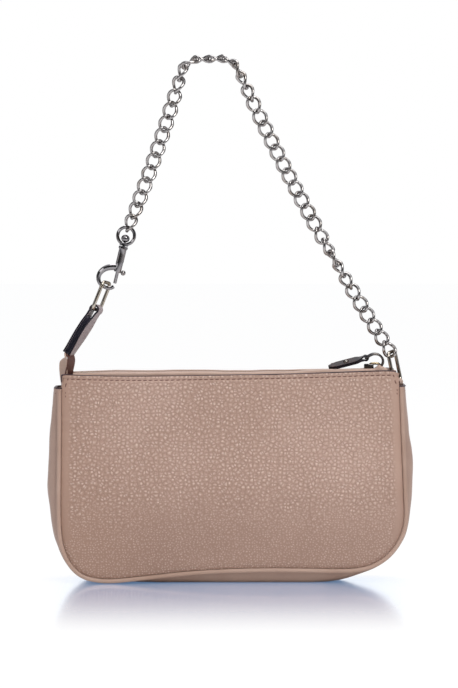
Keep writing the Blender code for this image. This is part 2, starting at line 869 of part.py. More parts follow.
def tab_frame():
    at, down, cross = left_ring_frame()
    hinge = at + down * left_ring_length
    lean = math.radians(tab_lean)
    fall = Vector((-math.sin(lean), 0, -math.cos(lean)))
    fall = (fall - cross * fall.dot(cross)).normalized()
    return hinge, fall, cross


def left_strap_tab():
    """The dark-edged tab folded round the left ring, sewn over the base strap's tongue."""
    hinge, fall, cross = tab_frame()
    sizes = (tab_layer, tab_length, tab_split, strap_width)
    return folded_strap("left_strap_tab", hinge, fall, cross, sizes, "leather_dark")


def left_strap_base():
    """The base strap: a folded tongue in the tab and two bowed legs that run down inside the bag."""
    hinge, fall, cross = tab_frame()
    out = cross.cross(fall).normalized()
    end = hinge + fall * tab_length
    top = end - fall * base_tongue
    half = (base_layer + base_split) / 2
    turn = [top + out * half * math.cos(a) - fall * half * math.sin(a) for a in (math.pi, math.pi / 2, 0)]
    outer, inner = (
        [(x * base_drop - half_width, z * base_drop + zip_height) for x, z in leg]
        for leg in (base_outer_leg, base_inner_leg)
    )
    if out.x > 0:
        far, near = end - out * half, end + out * half
    else:
        far, near = end + out * half, end - out * half
        turn = turn[::-1]
    path = [Vector((x, 0, z)) for x, z in outer[::-1]] + [far, *turn, near]
    path += [Vector((x, 0, z)) for x, z in inner]
    flat = Vector((0, 1, 0))
    sides = []
    for p in path:
        share = min(max((p.z - inner[-3][1]) / (end.z - inner[-3][1]), 0), 1)
        sides.append(flat.lerp(cross, share).normalized())
    return solid("left_strap_base", *strip(path, base_layer, base_width, sides), "leather_smooth")


def snap_frame():
    """The bolt snap's frame: the flange's top, down the shank, out to the arm's side and through."""
    lean = math.radians(snap_lean)
    down = Vector((-math.sin(lean), 0, -math.cos(lean)))
    out = Vector((-math.cos(lean), 0, math.sin(lean)))
    return Vector((snap_inset - half_width, 0, zip_height + snap_lift)), down, out


def snap_hook():
    """The snap's body: a bored shank, a tapered arm round to the bolt and a ball-ended post."""
    at, down, out = snap_frame()
    side = Vector((0, 1, 0))
    ball = post_gap + post_ball
    profile = [(0, -ball - post_ball)]
    for turn in (60, 30, 0, -30, -55):
        height = post_ball * math.sin(math.radians(turn))
        profile.append((post_ball * math.cos(math.radians(turn)), -ball - height))
    profile += [
        (post_radius, -post_gap),
        (post_radius, 0),
        (flange_radius, 0),
        (flange_radius, flange_height),
        (shank_radius, flange_height + leather_gap),
        (shank_radius, shank_length),
        (shank_bore, shank_length),
        (shank_bore, shank_roof),
        (0, shank_roof),
    ]
    body = solid("snap_hook", *lathe(profile, at, down, 12), "snap_metal")
    rows = smooth_through([(o, d) for o, d in arm_points], 17)
    path = [at + out * o + down * d for o, d in rows]
    last = len(path) - 1
    radii = [arm_root_radius + (arm_tip_radius - arm_root_radius) * i / last for i in range(last + 1)]
    combine(body, tube(path, radii, 8, False, side), "snap_metal")
    past = shank_length + bolt_travel
    bore = [(0, shank_roof), (shank_bore, shank_roof), (shank_bore, past), (0, past)]
    combine(body, lathe(bore, at, down, 12), "snap_metal", "DIFFERENCE")
    slot_half = knob_stem + slot_clear
    top = at + down * (knob_down - bolt_travel - slot_half)
    run = down * (shank_length - knob_down + bolt_travel + 2 * slot_half)
    outline = [
        side * slot_half,
        side * slot_half - out * 2 * shank_radius,
        -side * slot_half - out * 2 * shank_radius,
        -side * slot_half,
    ]
    combine(body, prism(outline, top, run), "snap_metal", "DIFFERENCE")
    return body


def snap_bolt():
    """The sprung bolt that closes the snap, with its thumb knob in the shank's slot."""
    at, down, out = snap_frame()
    profile = [
        (0, bolt_top),
        (bolt_collar, bolt_top),
        (bolt_collar, bolt_top + bolt_collar_height),
        (bolt_radius, bolt_top + bolt_collar_height),
        (bolt_radius, bolt_tip),
        (0, bolt_tip),
    ]
    body = solid("snap_bolt", *lathe(profile, at, down, 10), "snap_metal")
    middle = at + down * knob_down
    knob_profile = [
        (0, 0),
        (knob_stem, 0),
        (knob_stem, knob_out - knob_radius),
        (knob_radius, knob_out - knob_radius / 2),
        (knob_radius, knob_out + knob_radius / 2),
        (knob_stem, knob_out + knob_radius),
        (0, knob_out + knob_radius),
    ]
    combine(body, lathe(knob_profile, middle, -out, 8), "snap_metal")
    return body


def bolt_spring():
    """The coil spring between the shank's roof and the bolt."""
    at, down, out = snap_frame()
    side = Vector((0, 1, 0))
    first = shank_roof + spring_gap + spring_wire
    last = bolt_top - spring_gap - spring_wire
    steps = spring_turns * 8
    path = []
    for k in range(steps + 1):
        turn = 2 * math.pi * k / 8
        height = first + (last - first) * k / steps
        round_axis = math.cos(turn) * out + math.sin(turn) * side
        path.append(at + down * height + spring_radius * round_axis)
    return solid("bolt_spring", *tube(path, spring_wire, 5, False, down), "spring_steel")


def eye_middle():
    at, down, _ = snap_frame()
    return at - down * (eye_base_lift + eye_base_height / 2 + eye_half_height)


def swivel_eye():
    """The eye that turns on the snap's post: an oval ring on a drilled base."""
    at, down, out = snap_frame()
    middle = eye_middle()
    path = []
    for k in range(18):
        turn = 2 * math.pi * k / 18
        path.append(middle + out * eye_half_width * math.cos(turn) + down * eye_half_height * math.sin(turn))
    top = -eye_base_lift - eye_base_height
    hole = [(0, top - eye_base_height), (eye_hole, top - eye_base_height), (eye_hole, 0), (0, 0)]
    seat = -post_gap - post_ball
    bowl_profile = [(0, seat - post_ball - 2 * zip_clear)]
    for turn in (60, 30, 0, -30, -60):
        wide = (post_ball + zip_clear) * math.cos(math.radians(turn))
        bowl_profile.append((wide, seat - (post_ball + zip_clear) * math.sin(math.radians(turn))))
    bowl_profile.append((0, seat + post_ball + zip_clear))
    base_profile = [
        (0, top),
        (eye_base_radius, top),
        (eye_base_radius, -eye_base_lift),
        (0, -eye_base_lift),
    ]
    body = solid("swivel_eye", *lathe(base_profile, at, down, 12), "snap_metal", at)
    combine(body, tube(path, eye_wire, 8, True, Vector((0, 1, 0))), "snap_metal")
    combine(body, lathe(hole, at, down, 12), "snap_metal", "DIFFERENCE")
    combine(body, lathe(bowl_profile, at, down, 12), "snap_metal", "DIFFERENCE")
    return body


def route_start():
    """Where the first link pulls on the eye."""
    at, down, _ = snap_frame()
    return eye_middle() - down * (eye_half_height - eye_wire - link_gap / 2)


def route_end():
    """Where the last link pulls on the right ring."""
    at, down, _ = right_ring_frame()
    return at + down * (ring_wire + open_pivot_gap / 2)


def sagged(start, end, sag, steps):
    """A run between two points that sags square to itself."""
    run = end - start
    square = Vector((run.z, 0, -run.x)).normalized()
    if square.z > 0:
        square = -square
    return [start + run * i / steps + square * sag * 4 * (i / steps) * (1 - i / steps) for i in range(steps + 1)]


def rounded(points, corner, radius):
    """The polyline with one of its corners rounded."""
    at = points[corner]
    back, ahead = (points[corner - 1] - at).normalized(), (points[corner + 1] - at).normalized()
    half = back.angle(ahead) / 2
    reach = radius / math.tan(half)
    before = [p for p in points[:corner] if (p - at).length > reach]
    after = [p for p in points[corner + 1 :] if (p - at).length > reach]
    centre = at + (back + ahead).normalized() * radius / math.sin(half)
    first, last = at + back * reach - centre, at + ahead * reach - centre
    turned = first.rotation_difference(last)
    bend = []
    for i in range(9):
        bend.append(centre + Quaternion().slerp(turned, i / 8) @ first)
    return before + bend + after


def route():
    """The strap's middle line, from the eye over both top corners to the right ring."""
    left = Vector((left_top_x, 0, zip_height + left_top_lift))
    right = Vector((right_top_x, 0, zip_height + right_top_lift))
    line = sagged(route_start(), left, left_sag, 24)
    corner = len(line) - 1
    line += [left + (right - left) * i / 4 for i in range(1, 5)]
    second = len(line) - 1
    line += sagged(right, route_end(), right_sag, 40)[1:]
    line = rounded(line, second, route_bend)
    return rounded(line, corner, route_bend)


def stepped(line, step, count):
    """Points along a line, each step away from the one before, and how far past the end they reach."""
    found = [line[0]]
    i, at = 0, line[0]
    for _ in range(count):
        while i < len(line) - 1 and (line[i + 1] - found[-1]).length < step:
            i += 1
        if i == len(line) - 1:
            along = (line[-1] - line[-2]).normalized()
            found.append(found[-1] + along * step)
            continue
        a, b = line[i], line[i + 1]
        low, high = 0.0, 1.0
        for _ in range(40):
            mid = (low + high) / 2
            inside = (a.lerp(b, mid) - found[-1]).length < step
            low, high = (mid, high) if inside else (low, mid)
        at = a.lerp(b, high)
        found.append(at)
    return found


def contacts():
    """The points where link pulls on link, from the eye to the right ring, and the pitch between them."""
    line = route()
    length = sum((b - a).length for a, b in zip(line, line[1:]))
    low, high = length / chain_links / 2, length / chain_links
    for _ in range(50):
        step = (low + high) / 2
        last = stepped(line, step, chain_links)[-1]
        past = (last - line[-1]).dot((line[-1] - line[-2]).normalized()) > 0
        low, high = (low, step) if past else (step, high)
    return stepped(line, low, chain_links), low


def link_turn(number):
    """How far a link's flat is turned about the run."""
    for (n0, t0), (n1, t1) in zip(link_turns, link_turns[1:]):
        if n0 <= number <= n1:
            return math.radians(t0 + (t1 - t0) * (number - n0) / (n1 - n0))
    return 0.0


def link(start, end, number, start_gap, end_gap):
    """One curb link between two contacts: an oval of wire twisted along its length."""
    pitch = (end - start).length
    reach = pitch / 2 + (start_gap + end_gap) / 4 + link_wire
    shift = (end_gap - start_gap) / 4
    along = (end - start).normalized()
    through = Vector((0, 1, 0))
    level = along.cross(through)
    turn = link_turn(number)
    flat = math.cos(turn) * level + math.sin(turn) * along.cross(level)
    face = along.cross(flat)
    middle = (start + end) / 2 + along * shift
    path = []
    for k in range(link_steps):
        angle = 2 * math.pi * (k + 0.5) / link_steps
        x = reach * math.cos(angle)
        wide = link_half_width * math.sin(angle)
        twist = math.radians(link_twist) * math.cos(angle)
        path.append(middle + along * x + wide * (math.cos(twist) * flat + math.sin(twist) * face))
    count = len(path)
    points = []
    for i, at in enumerate(path):
        run = (path[(i + 1) % count] - path[i - 1]).normalized()
        out = at - middle
        out = (out - run * out.dot(run)).normalized()
        over = run.cross(out)
        for k in range(link_sides):
            around = 2 * math.pi * k / link_sides
            points.append(at + link_wire * (math.cos(around) * out + math.sin(around) * over))
    return points, rings_to_faces(count, link_sides, True)


def chain():
    """The links, each pair held as one where they touch, with its origin at the contact it turns about."""
    at, _ = contacts()
    for body in range(chain_links // 2):
        n = 2 * body
        near = link(at[n], at[n + 1], n + 1, link_gap, -pair_bite)
        far = link(at[n + 1], at[n + 2], n + 2, -pair_bite, link_gap)
        pair = solid(f"chain_links_{body + 1:02d}", *near, "chain_metal", at[n])
        combine(pair, far, "chain_metal")


def build():
    clear_scene()
    panel("back_panel", -1)
    panel("front_panel", 1)
    gusset()
    piping("back_piping", -1)
    piping("front_piping", 1)
    lining()
    facing("back_facing", -1)
    facing("front_facing", 1)
    tape("back_zip_tape", -1)
    tape("front_zip_tape", 1)
    teeth("back_zip_teeth", -1)
    teeth("front_zip_teeth", 1)
    zip_stop()
    end_tab("left_zip_end", -1)
    end_tab("right_zip_end", 1)
    slider()
    pull_ring()
    pull_tab()
    pull_rivet()
    right_loop()
    right_ring()
    left_strap_base()
    left_strap_tab()
    left_ring()
    snap_hook()
    snap_bolt()
    bolt_spring()
    swivel_eye()
    chain()


build()
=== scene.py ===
"""Looks of the wrist bag: pebbled leather body, curb-chain strap, bolt snap and zip."""

from math import copysign, cos, exp, pi, radians, sin, tan

import bmesh
import bpy
import numpy as np
from mathutils import Matrix, Quaternion, Vector, noise
from mathutils.bvhtree import BVHTree


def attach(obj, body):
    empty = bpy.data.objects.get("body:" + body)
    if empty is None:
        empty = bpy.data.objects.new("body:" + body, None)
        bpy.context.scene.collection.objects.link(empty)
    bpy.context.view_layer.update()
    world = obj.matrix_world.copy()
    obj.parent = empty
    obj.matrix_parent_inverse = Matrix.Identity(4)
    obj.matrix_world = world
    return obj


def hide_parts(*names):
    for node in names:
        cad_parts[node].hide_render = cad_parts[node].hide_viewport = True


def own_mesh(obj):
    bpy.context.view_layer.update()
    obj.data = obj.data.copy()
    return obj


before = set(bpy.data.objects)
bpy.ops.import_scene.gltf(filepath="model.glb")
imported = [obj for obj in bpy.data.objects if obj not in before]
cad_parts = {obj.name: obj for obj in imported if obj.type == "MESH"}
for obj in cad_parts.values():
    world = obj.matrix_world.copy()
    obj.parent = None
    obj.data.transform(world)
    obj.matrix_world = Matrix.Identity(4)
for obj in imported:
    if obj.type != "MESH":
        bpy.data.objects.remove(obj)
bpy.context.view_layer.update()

MM = 0.001
across_bag = Vector((0, 1, 0))
straight_up = Vector((0, 0, 1))

# Bag body
half_width = 98 * MM
panel_height = 118.5 * MM
panel_rise = 3 * MM
depth_low = 18 * MM
depth_top = 14 * MM
panel_thickness = 2.0 * MM
leather_gap = 0.3 * MM
stitch_drop = 2.2 * MM
left_swell = 0.8 * MM
gusset_swell = 10.6 * MM
gusset_edge_gap = 0.6 * MM
gusset_top = 113 * MM
right_gusset_top = 114.2 * MM
piping_radius = 1.3 * MM
piping_offset = 1.7 * MM
piping_side = 1.2 * MM
zip_height = 121.4 * MM
zip_left = -91.5 * MM
zip_right = 92.6 * MM
panel_leather = 1.7 * MM
side_leather = 1.2 * MM
cloth_right = 91.0 * MM

# The seam between panel and gusset: across, up, and the gusset's swell past it
seam_shares = (
    (-0.992, 0.994, 0.44), (-0.996, 0.920, 0.46), (-0.997, 0.740, 0.64), (-0.999, 0.560, 0.79),
    (-1.001, 0.400, 0.79), (-0.998, 0.250, 0.60), (-0.983, 0.160, 0.46), (-0.946, 0.086, 0.40),
    (-0.892, 0.036, 0.36), (-0.820, 0.010, 0.33), (-0.700, 0.002, 0.32), (-0.500, 0.018, 0.58),
    (-0.250, 0.040, 0.82), (0.000, 0.052, 0.96), (0.250, 0.056, 1.00), (0.480, 0.054, 0.98),
    (0.650, 0.052, 0.78), (0.765, 0.058, 0.50), (0.850, 0.080, 0.42), (0.920, 0.118, 0.40),
    (0.975, 0.172, 0.39), (1.010, 0.235, 0.39), (1.024, 0.310, 0.43), (1.020, 0.400, 0.55),
    (1.013, 0.550, 0.70), (1.006, 0.690, 0.57), (0.998, 0.860, 0.45), (0.996, 0.925, 0.42),
    (0.992, 1.003, 0.40),
)
top_edge_shares = (
    (-0.970, 0.997), (-0.850, 0.993), (-0.600, 0.990), (-0.300, 0.992), (0.000, 0.996),
    (0.200, 0.998), (0.450, 1.003), (0.700, 1.010), (0.900, 1.015), (0.972, 1.013),
)


# ---------------------------------------------------------------- modelling by hand


def alone(piece):
    """Leave edit mode and have only this piece selected."""
    if bpy.context.mode != "OBJECT":
        bpy.ops.object.mode_set(mode="OBJECT")
    bpy.ops.object.select_all(action="DESELECT")
    piece.select_set(True)
    bpy.context.view_layer.objects.active = piece


def named(name):
    """The piece just added, under its name."""
    piece = bpy.context.object
    piece.name = piece.data.name = name
    return piece


def opened(piece, kind="VERT", test=None):
    """Open the piece in edit mode with only what the test picks selected."""
    alone(piece)
    bpy.ops.object.mode_set(mode="EDIT")
    bpy.ops.mesh.select_mode(type=kind)
    bpy.ops.mesh.select_all(action="DESELECT")
    if test is None:
        bpy.ops.mesh.select_all(action="SELECT")
        return
    work = bmesh.from_edit_mesh(piece.data)
    work.normal_update()
    for item in {"VERT": work.verts, "EDGE": work.edges, "FACE": work.faces}[kind]:
        if test(item):
            item.select_set(True)
    bmesh.update_edit_mesh(piece.data)


def shut():
    bpy.ops.object.mode_set(mode="OBJECT")


def applied(piece, kind, **settings):
    """Put a modifier on the piece and apply it."""
    alone(piece)
    step = piece.modifiers.new(kind.lower(), kind)
    for key, value in settings.items():
        setattr(step, key, value)
    bpy.ops.object.modifier_apply(modifier=step.name)
    return piece


def smoothed(piece, angle=40):
    alone(piece)
    bpy.ops.object.shade_smooth_by_angle(angle=radians(angle))
    return piece


def outwards(piece):
    """Merge doubles and turn every face out."""
    opened(piece)
    bpy.ops.mesh.remove_doubles(threshold=1e-6)
    bpy.ops.mesh.normals_make_consistent(inside=False)
    shut()
    return piece


def flipped(piece):
    """Turn every face over."""
    opened(piece)
    bpy.ops.mesh.flip_normals()
    shut()


def reshaped(piece, how):
    """Move every point of a piece to where how puts it."""
    for point in piece.data.vertices:
        point.co = how(point.co)
    piece.data.update()
    return piece


def bevelled(piece, width, segments=2, angle=30):
    """Bevel the edges that are sharper than an angle."""
    settings = {"limit_method": "ANGLE", "angle_limit": radians(angle)}
    return applied(piece, "BEVEL", width=width, segments=segments, **settings)


def thickened(piece, thickness, offset, **settings):
    return applied(piece, "SOLIDIFY", thickness=thickness, offset=offset, **settings)


def cut_by(piece, *tools, **settings):
    """Cut tools out of a piece and throw them away."""
    for tool in tools:
        applied(piece, "BOOLEAN", operation="DIFFERENCE", object=tool, solver="EXACT", **settings)
        removed(tool)


def converted(piece, kind="MESH"):
    """The piece as a mesh or as a curve."""
    alone(piece)
    bpy.ops.object.convert(target=kind)
    return bpy.context.object


def moved(piece, matrix):
    piece.data.transform(matrix)
    piece.data.update()
    return piece


def copied(piece, name, matrix):
    """A copy with its own mesh, put at its place."""
    made = piece.copy()
    made.data = piece.data.copy()
    made.name = made.data.name = name
    bpy.context.scene.collection.objects.link(made)
    made.data.transform(matrix)
    return made


def joined(name, pieces):
    """Several pieces as one."""
    alone(pieces[0])
    for other in pieces[1:]:
        other.select_set(True)
    bpy.ops.object.join()
    return named(name)


def scattered(name, template, places):
    """One piece that holds the template's shape at every place."""
    work = bmesh.new()
    for place in places:
        start = len(work.verts)
        work.from_mesh(template.data)
        work.verts.ensure_lookup_table()
        bmesh.ops.transform(work, matrix=place, verts=work.verts[start:])
    made = copied(template, name, Matrix())
    work.to_mesh(made.data)
    work.free()
    made.data.shade_smooth()
    return made


def removed(piece):
    bpy.data.objects.remove(piece, do_unlink=True)


def cut_sheet(name, columns, rows, place):
    """A grid laid out to a cut of leather or cloth: place gives the point for shares along and up."""
    bpy.ops.mesh.primitive_grid_add(x_subdivisions=columns, y_subdivisions=rows, size=1)
    return reshaped(named(name), lambda p: place(p.x + 0.5, p.y + 0.5))


def wire(name, path, radius, closed=False, sides=12, radii=None):
    """A round wire or cord along a path, made from a curve."""
    bpy.ops.curve.primitive_bezier_curve_add()
    piece = named(name)
    line = piece.data
    line.splines.clear()
    line.dimensions = "3D"
    run = line.splines.new("POLY")
    run.points.add(len(path) - 1)
    for i, at in enumerate(path):
        run.points[i].co = (*at, 1)
        run.points[i].radius = radii[i] if radii else 1
    run.use_cyclic_u = closed
    line.twist_mode = "MINIMUM"
    line.bevel_depth = radius
    line.bevel_resolution = max(sides // 4 - 1, 0)
    line.use_fill_caps = not closed
    return smoothed(outwards(converted(piece)), 50)


def turned(name, profile, at, axis, steps):
    """A turned part: a profile of (radius, height) spun round an axis."""
    bpy.ops.mesh.primitive_plane_add(size=1)
    piece = named(name)
    alone(piece)
    bpy.ops.object.mode_set(mode="EDIT")
    work = bmesh.from_edit_mesh(piece.data)
    work.verts.ensure_lookup_table()
    bmesh.ops.delete(work, geom=list(work.verts)[1:], context="VERTS")
    first = next(iter(work.verts))
    first.co = (profile[0][0], 0, profile[0][1])
    first.select_set(True)
    bmesh.update_edit_mesh(piece.data)
    for (r0, h0), (r1, h1) in zip(profile, profile[1:]):
        bpy.ops.mesh.extrude_vertices_move(TRANSFORM_OT_translate={"value": (r1 - r0, 0, h1 - h0)})
    bpy.ops.mesh.select_all(action="SELECT")
    bpy.ops.mesh.spin(steps=steps, angle=2 * pi, center=(0, 0, 0), axis=(0, 0, 1))
    shut()
    turn = straight_up.rotation_difference(axis.normalized()).to_matrix().to_4x4()
    return smoothed(moved(outwards(piece), Matrix.Translation(at) @ turn), 45)


def plate(name, outline, low, high, bevel=0.0, segments=2):
    """A flat piece: an outline in X and Y, filled, extruded from low to high and bevelled."""
    bpy.ops.mesh.primitive_circle_add(vertices=len(outline), radius=1, fill_type="NGON")
    piece = named(name)
    for point, (x, y) in zip(piece.data.vertices, outline):
        point.co = (x, y, low)
    opened(piece)
    bpy.ops.mesh.extrude_region_move(TRANSFORM_OT_translate={"value": (0, 0, high - low)})
    shut()
    outwards(piece)
    if bevel:
        bevelled(piece, bevel, segments)
    return smoothed(piece)


def box_outline(x0, x1, half):
    return [(x0, -half), (x1, -half), (x1, half), (x0, half)]


def frame_at(origin, x, y, z):
    """A matrix from an origin and three directions."""
    return Matrix((
        (x.x, y.x, z.x, origin.x), (x.y, y.y, z.y, origin.y), (x.z, y.z, z.z, origin.z), (0, 0, 0, 1),
    ))


def finished(piece, finish, body, slot, *nodes):
    """Give a piece its finish and its body and hide the CAD nodes that it stands for; the slot is not used.
    """
    slots = piece.data.materials
    for i, one in enumerate(finish if isinstance(finish, (list, tuple)) else [finish]):
        if i < len(slots):
            slots[i] = one
        else:
            slots.append(one)
    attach(piece, body)
    if nodes:
        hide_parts(*nodes)
    return piece


def arc(centre, radius, first, last, steps, right, up):
    """Points round part of a circle, from one angle to another."""
    turns = [radians(first + (last - first) * i / steps) for i in range(steps + 1)]
    return [centre + radius * (cos(turn) * right + sin(turn) * up) for turn in turns]


def smooth_through(table, count):
    """A smooth curve through a table of rows, as count evenly spread rows."""
    rows = [tuple(2 * a - b for a, b in zip(table[0], table[1])), *table]
    rows.append(tuple(2 * a - b for a, b in zip(table[-1], table[-2])))
    found = []
    for n in range(count):
        at = n / (count - 1) * (len(table) - 1)
        i = min(int(at), len(table) - 2)
        u = at - i
        found.append(tuple(
            b + u / 2 * (c - a + u * (2 * a - 5 * b + 4 * c - d + u * (3 * (b - c) + d - a)))
            for a, b, c, d in zip(*rows[i : i + 4])
        ))
    return found


def spaced(path, pitch=None, count=None):
    """Points evenly spaced along a path, each with the direction there."""
    steps = [(b - a).length for a, b in zip(path, path[1:])]
    whole = sum(steps)
    count = count or max(int(round(whole / pitch)), 1)
    found, i, gone = [], 0, 0.0
    for n in range(count + 1):
        at = whole * n / count
        while i < len(steps) - 1 and gone + steps[i] < at:
            gone += steps[i]
            i += 1
        share = (at - gone) / max(steps[i], 1e-9)
        found.append((path[i].lerp(path[i + 1], share), (path[i + 1] - path[i]).normalized()))
    return found


def ease(x, low, high):
    """From 0 at low to 1 at high, smoothly."""
    t = min(max((x - low) / (high - low), 0), 1)
    return t * t * (3 - 2 * t)


def bell(x, wide):
    """1 at zero, falling away smoothly on both sides."""
    return exp(-((x / wide) ** 2))


def rolled(piece, at, along, degrees):
    """Twist a piece about a line: degrees gives the turn for a distance along it."""

    def twisted(point):
        gone = (point - at).dot(along)
        axis = at + along * gone
        return axis + Quaternion(along, radians(degrees(gone))) @ (point - axis)

    return reshaped(piece, twisted)


# ---------------------------------------------------------------- finishes


class Value:
    """A socket of a finish that sums and products can be written with."""

    def __init__(self, finish, socket):
        self.finish, self.socket = finish, socket

    def maths(self, operation, first, second, clamp=False):
        settings = {"operation": operation, "use_clamp": clamp}
        return self.finish.node("Math", settings, {0: first, 1: second})

    def __add__(self, other):
        return self.maths("ADD", self, other)

    def __radd__(self, other):
        return self.maths("ADD", other, self)

    def __sub__(self, other):
        return self.maths("SUBTRACT", self, other)

    def __rsub__(self, other):
        return self.maths("SUBTRACT", other, self)

    def __mul__(self, other):
        return self.maths("MULTIPLY", self, other)

    def clamped(self):
        return self.maths("ADD", self, 0.0, clamp=True)


class Finish:
    """A material of one shader, built up from its nodes."""

    def __init__(self, name, **fixed):
        self.material = bpy.data.materials.new(name)
        self.material.use_nodes = True
        self.tree = self.material.node_tree
        self.shader = self.tree.nodes["Principled BSDF"]
        for key, value in fixed.items():
            self.shader.inputs[key.replace("_", " ")].default_value = value

    def node(self, kind, settings=None, values=None, out=0):
        """One node: its settings first, then its sockets' values or links. Gives one output."""
        made = self.tree.nodes.new("ShaderNode" + kind)
        for key, value in (settings or {}).items():
            setattr(made, key, value)
        for key, value in (values or {}).items():
            self.feed(made.inputs[key], value)
        return Value(self, made.outputs[out])

    def feed(self, socket, value):
        if isinstance(value, Value):
            self.tree.links.new(value.socket, socket)
        elif isinstance(value, tuple) and len(value) == 3 and len(socket.default_value) == 4:
            socket.default_value = (*value, 1)
        else:
            socket.default_value = value

    def place(self):
        return self.node("TexCoord", out="Object")

    def parts(self, vector):
        """The three numbers of a vector."""
        split = self.node("SeparateXYZ", None, {0: vector}).socket.node
        return [Value(self, split.outputs[k]) for k in range(3)]

    def stretched(self, scale):
        return self.node("Mapping", None, {0: self.place(), 3: scale})

    def speckle(self, scale, detail=2.0, rough=0.5, at=None, out=0):
        values = {"Vector": at or self.place(), "Scale": scale, "Detail": detail, "Roughness": rough}
        return self.node("TexNoise", None, values, out)

    def cells(self, scale, feature, at=None, out="Distance", jitter=1.0, flat=False):
        settings = {"voronoi_dimensions": "2D" if flat else "3D", "feature": feature}
        values = {"Vector": at or self.place(), "Scale": scale, "Randomness": jitter}
        return self.node("TexVoronoi", settings, values, out)

    def bands(self, way, scale, distortion):
        return self.node("TexWave", {"bands_direction": way}, {"Scale": scale, "Distortion": distortion})

    def level(self, value, low, high, first=0.0, last=1.0):
        """A value spread from low..high to first..last, held at the ends."""
        values = {"Value": value, 1: low, 2: high, 3: first, 4: last}
        return self.node("MapRange", {"interpolation_type": "SMOOTHSTEP"}, values)

    def mix(self, share, first, second):
        return self.node("Mix", {"data_type": "RGBA"}, {0: share, 6: first, 7: second}, 2)

    def shade(self, name):
        return self.node("Attribute", {"attribute_name": name}, None, "Fac")

    def put(self, bump, strength, depth, **links):
        """Colour, roughness and a bump of some height, strength and depth into the shader."""
        values = {"Height": bump, "Strength": strength, "Distance": depth}
        links["Normal"] = self.node("Bump", None, values)
        for key, value in links.items():
            self.feed(self.shader.inputs[key.replace("_", " ")], value)
        return self.material


def pebbled_leather():
    """Grained leather: rounded pebbles with creases between them, large above and fine below, with painted
    highlights on the pebble tops and painted shade in the creases, lower down and towards the left.
    """
    made = Finish("pebbled_leather", Specular_IOR_Level=0.5)
    upward, grained = made.shade("height_share"), made.shade("seam_share")
    wander = {0: made.speckle(230.0, 1.0, out=1), 1: (0.0019,) * 3, 2: made.place()}
    across, _, up = made.parts(made.node("VectorMath", {"operation": "MULTIPLY_ADD"}, wander))
    face = made.node("CombineXYZ", None, {"X": across * 0.93, "Y": up})

    def pebbles(scale):
        def grain(feature, out="Distance"):
            return made.cells(scale, feature, face, out, 0.85, True)

        dome = made.level(grain("F1"), 0.03, 0.43, 1.0, 0.0)
        body = made.level(grain("DISTANCE_TO_EDGE"), 0.0, 0.26)
        return dome * (grain("F1", "Color") * 1.1 + 0.15), body

    dome, body = pebbles(450.0)
    fine_dome, fine_body = pebbles(690.0)
    size = made.level(upward + (made.speckle(70.0) - 0.5) * 0.9, 0.05, 0.60)
    uneven = made.level(made.speckle(300.0), 0.35, 0.65, 0.55, 1.0)
    tops = (dome * size * uneven + fine_dome * (1.0 - size * 0.55) * 0.6) * grained
    creases = ((1.0 - body) * size * uneven + (1.0 - fine_body) * (1.0 - size * 0.6) * 0.7) * grained
    height = (dome * 0.5 + body * 0.6) * size + (fine_dome * 0.3 + fine_body * 0.3) * (1.0 - size)
    broad = made.speckle(13.0, 3.0)
    # painted shade: the colour darkens and reddens towards the left side of the panel
    painted_shade_left = made.level(across + (broad - 0.5) * 0.05, -0.096, -0.030, 1.0, 0.0)
    patches = made.level(broad, 0.35, 0.65)
    # painted light and shade: the pale colour is the lit upper panel, the shaded colour the darker lower
    # panel, mixed by height
    pale = made.mix(patches, (0.462, 0.301, 0.234), (0.535, 0.360, 0.290))
    shaded = made.mix(patches, (0.342, 0.215, 0.165), (0.392, 0.252, 0.196))
    base = made.mix(made.level(upward, 0.0, 0.85), shaded, pale)
    base = made.mix(painted_shade_left * 0.7, base, (0.400, 0.245, 0.180))
    # painted highlight: the colour is lightened on the pebble tops
    painted_highlight = made.mix((tops * 0.80).clamped(), base, (0.800, 0.625, 0.535))
    # painted shade: the colour is darkened in the creases between pebbles
    colour = made.mix(creases * 0.50, painted_highlight, (0.285, 0.170, 0.128))
    raised = height * grained + made.speckle(2400.0) * 0.05
    return made.put(raised, 0.9, 0.00022, Base_Color=colour, Roughness=0.50 - tops * 0.14 + broad * 0.06)


def smooth_leather(name, base, light):
    """Fine-pored leather with faint mottling."""
    made = Finish(name, Specular_IOR_Level=0.5)
    broad = made.speckle(30.0, 4.0, 0.6)
    pores = made.cells(1500.0, "SMOOTH_F1")
    colour = made.mix(made.level(broad, 0.3, 0.7), base, light)
    colour = made.mix((1.0 - made.level(pores, 0.0, 0.35)) * 0.18, colour, tuple(c * 0.6 for c in base))
    raised = pores * 0.6 + made.speckle(900.0, 3.0) * 0.5
    return made.put(raised, 0.35, 0.0003, Base_Color=colour, Roughness=0.45 + (broad - 0.5) * 0.16)


def edge_paint(name, dark, light, rough):
    """Dark painted leather edge, slightly uneven and glossy."""
    made = Finish(name, Specular_IOR_Level=0.5)
    uneven = made.speckle(420.0, 3.0)
    colour = made.mix(made.level(uneven, 0.35, 0.75), dark, light)
    return made.put(uneven, 0.25, 0.00008, Base_Color=colour, Roughness=rough + uneven * 0.14)


def dark_leather():
    """Near-black leather with reddish mottling."""
    made = Finish("dark_leather", Specular_IOR_Level=0.5)
    mottle = made.speckle(240.0, 4.0, 0.65)
    colour = made.mix(made.level(mottle, 0.35, 0.7), (0.010, 0.009, 0.013), (0.050, 0.027, 0.027))
    raised = made.cells(1400.0, "SMOOTH_F1") * 0.5 + mottle
    return made.put(raised, 0.4, 0.0003, Base_Color=colour, Roughness=0.34 + mottle * 0.2)


def thread(name, base):
    """Twisted sewing thread."""
    made = Finish(name)
    ply = made.bands("DIAGONAL", 900.0, 1.5)
    colour = made.mix(ply * 0.6, base, tuple(c * 0.55 for c in base))
    return made.put(ply, 0.5, 0.0001, Base_Color=colour, Roughness=0.62 + ply * 0.1)


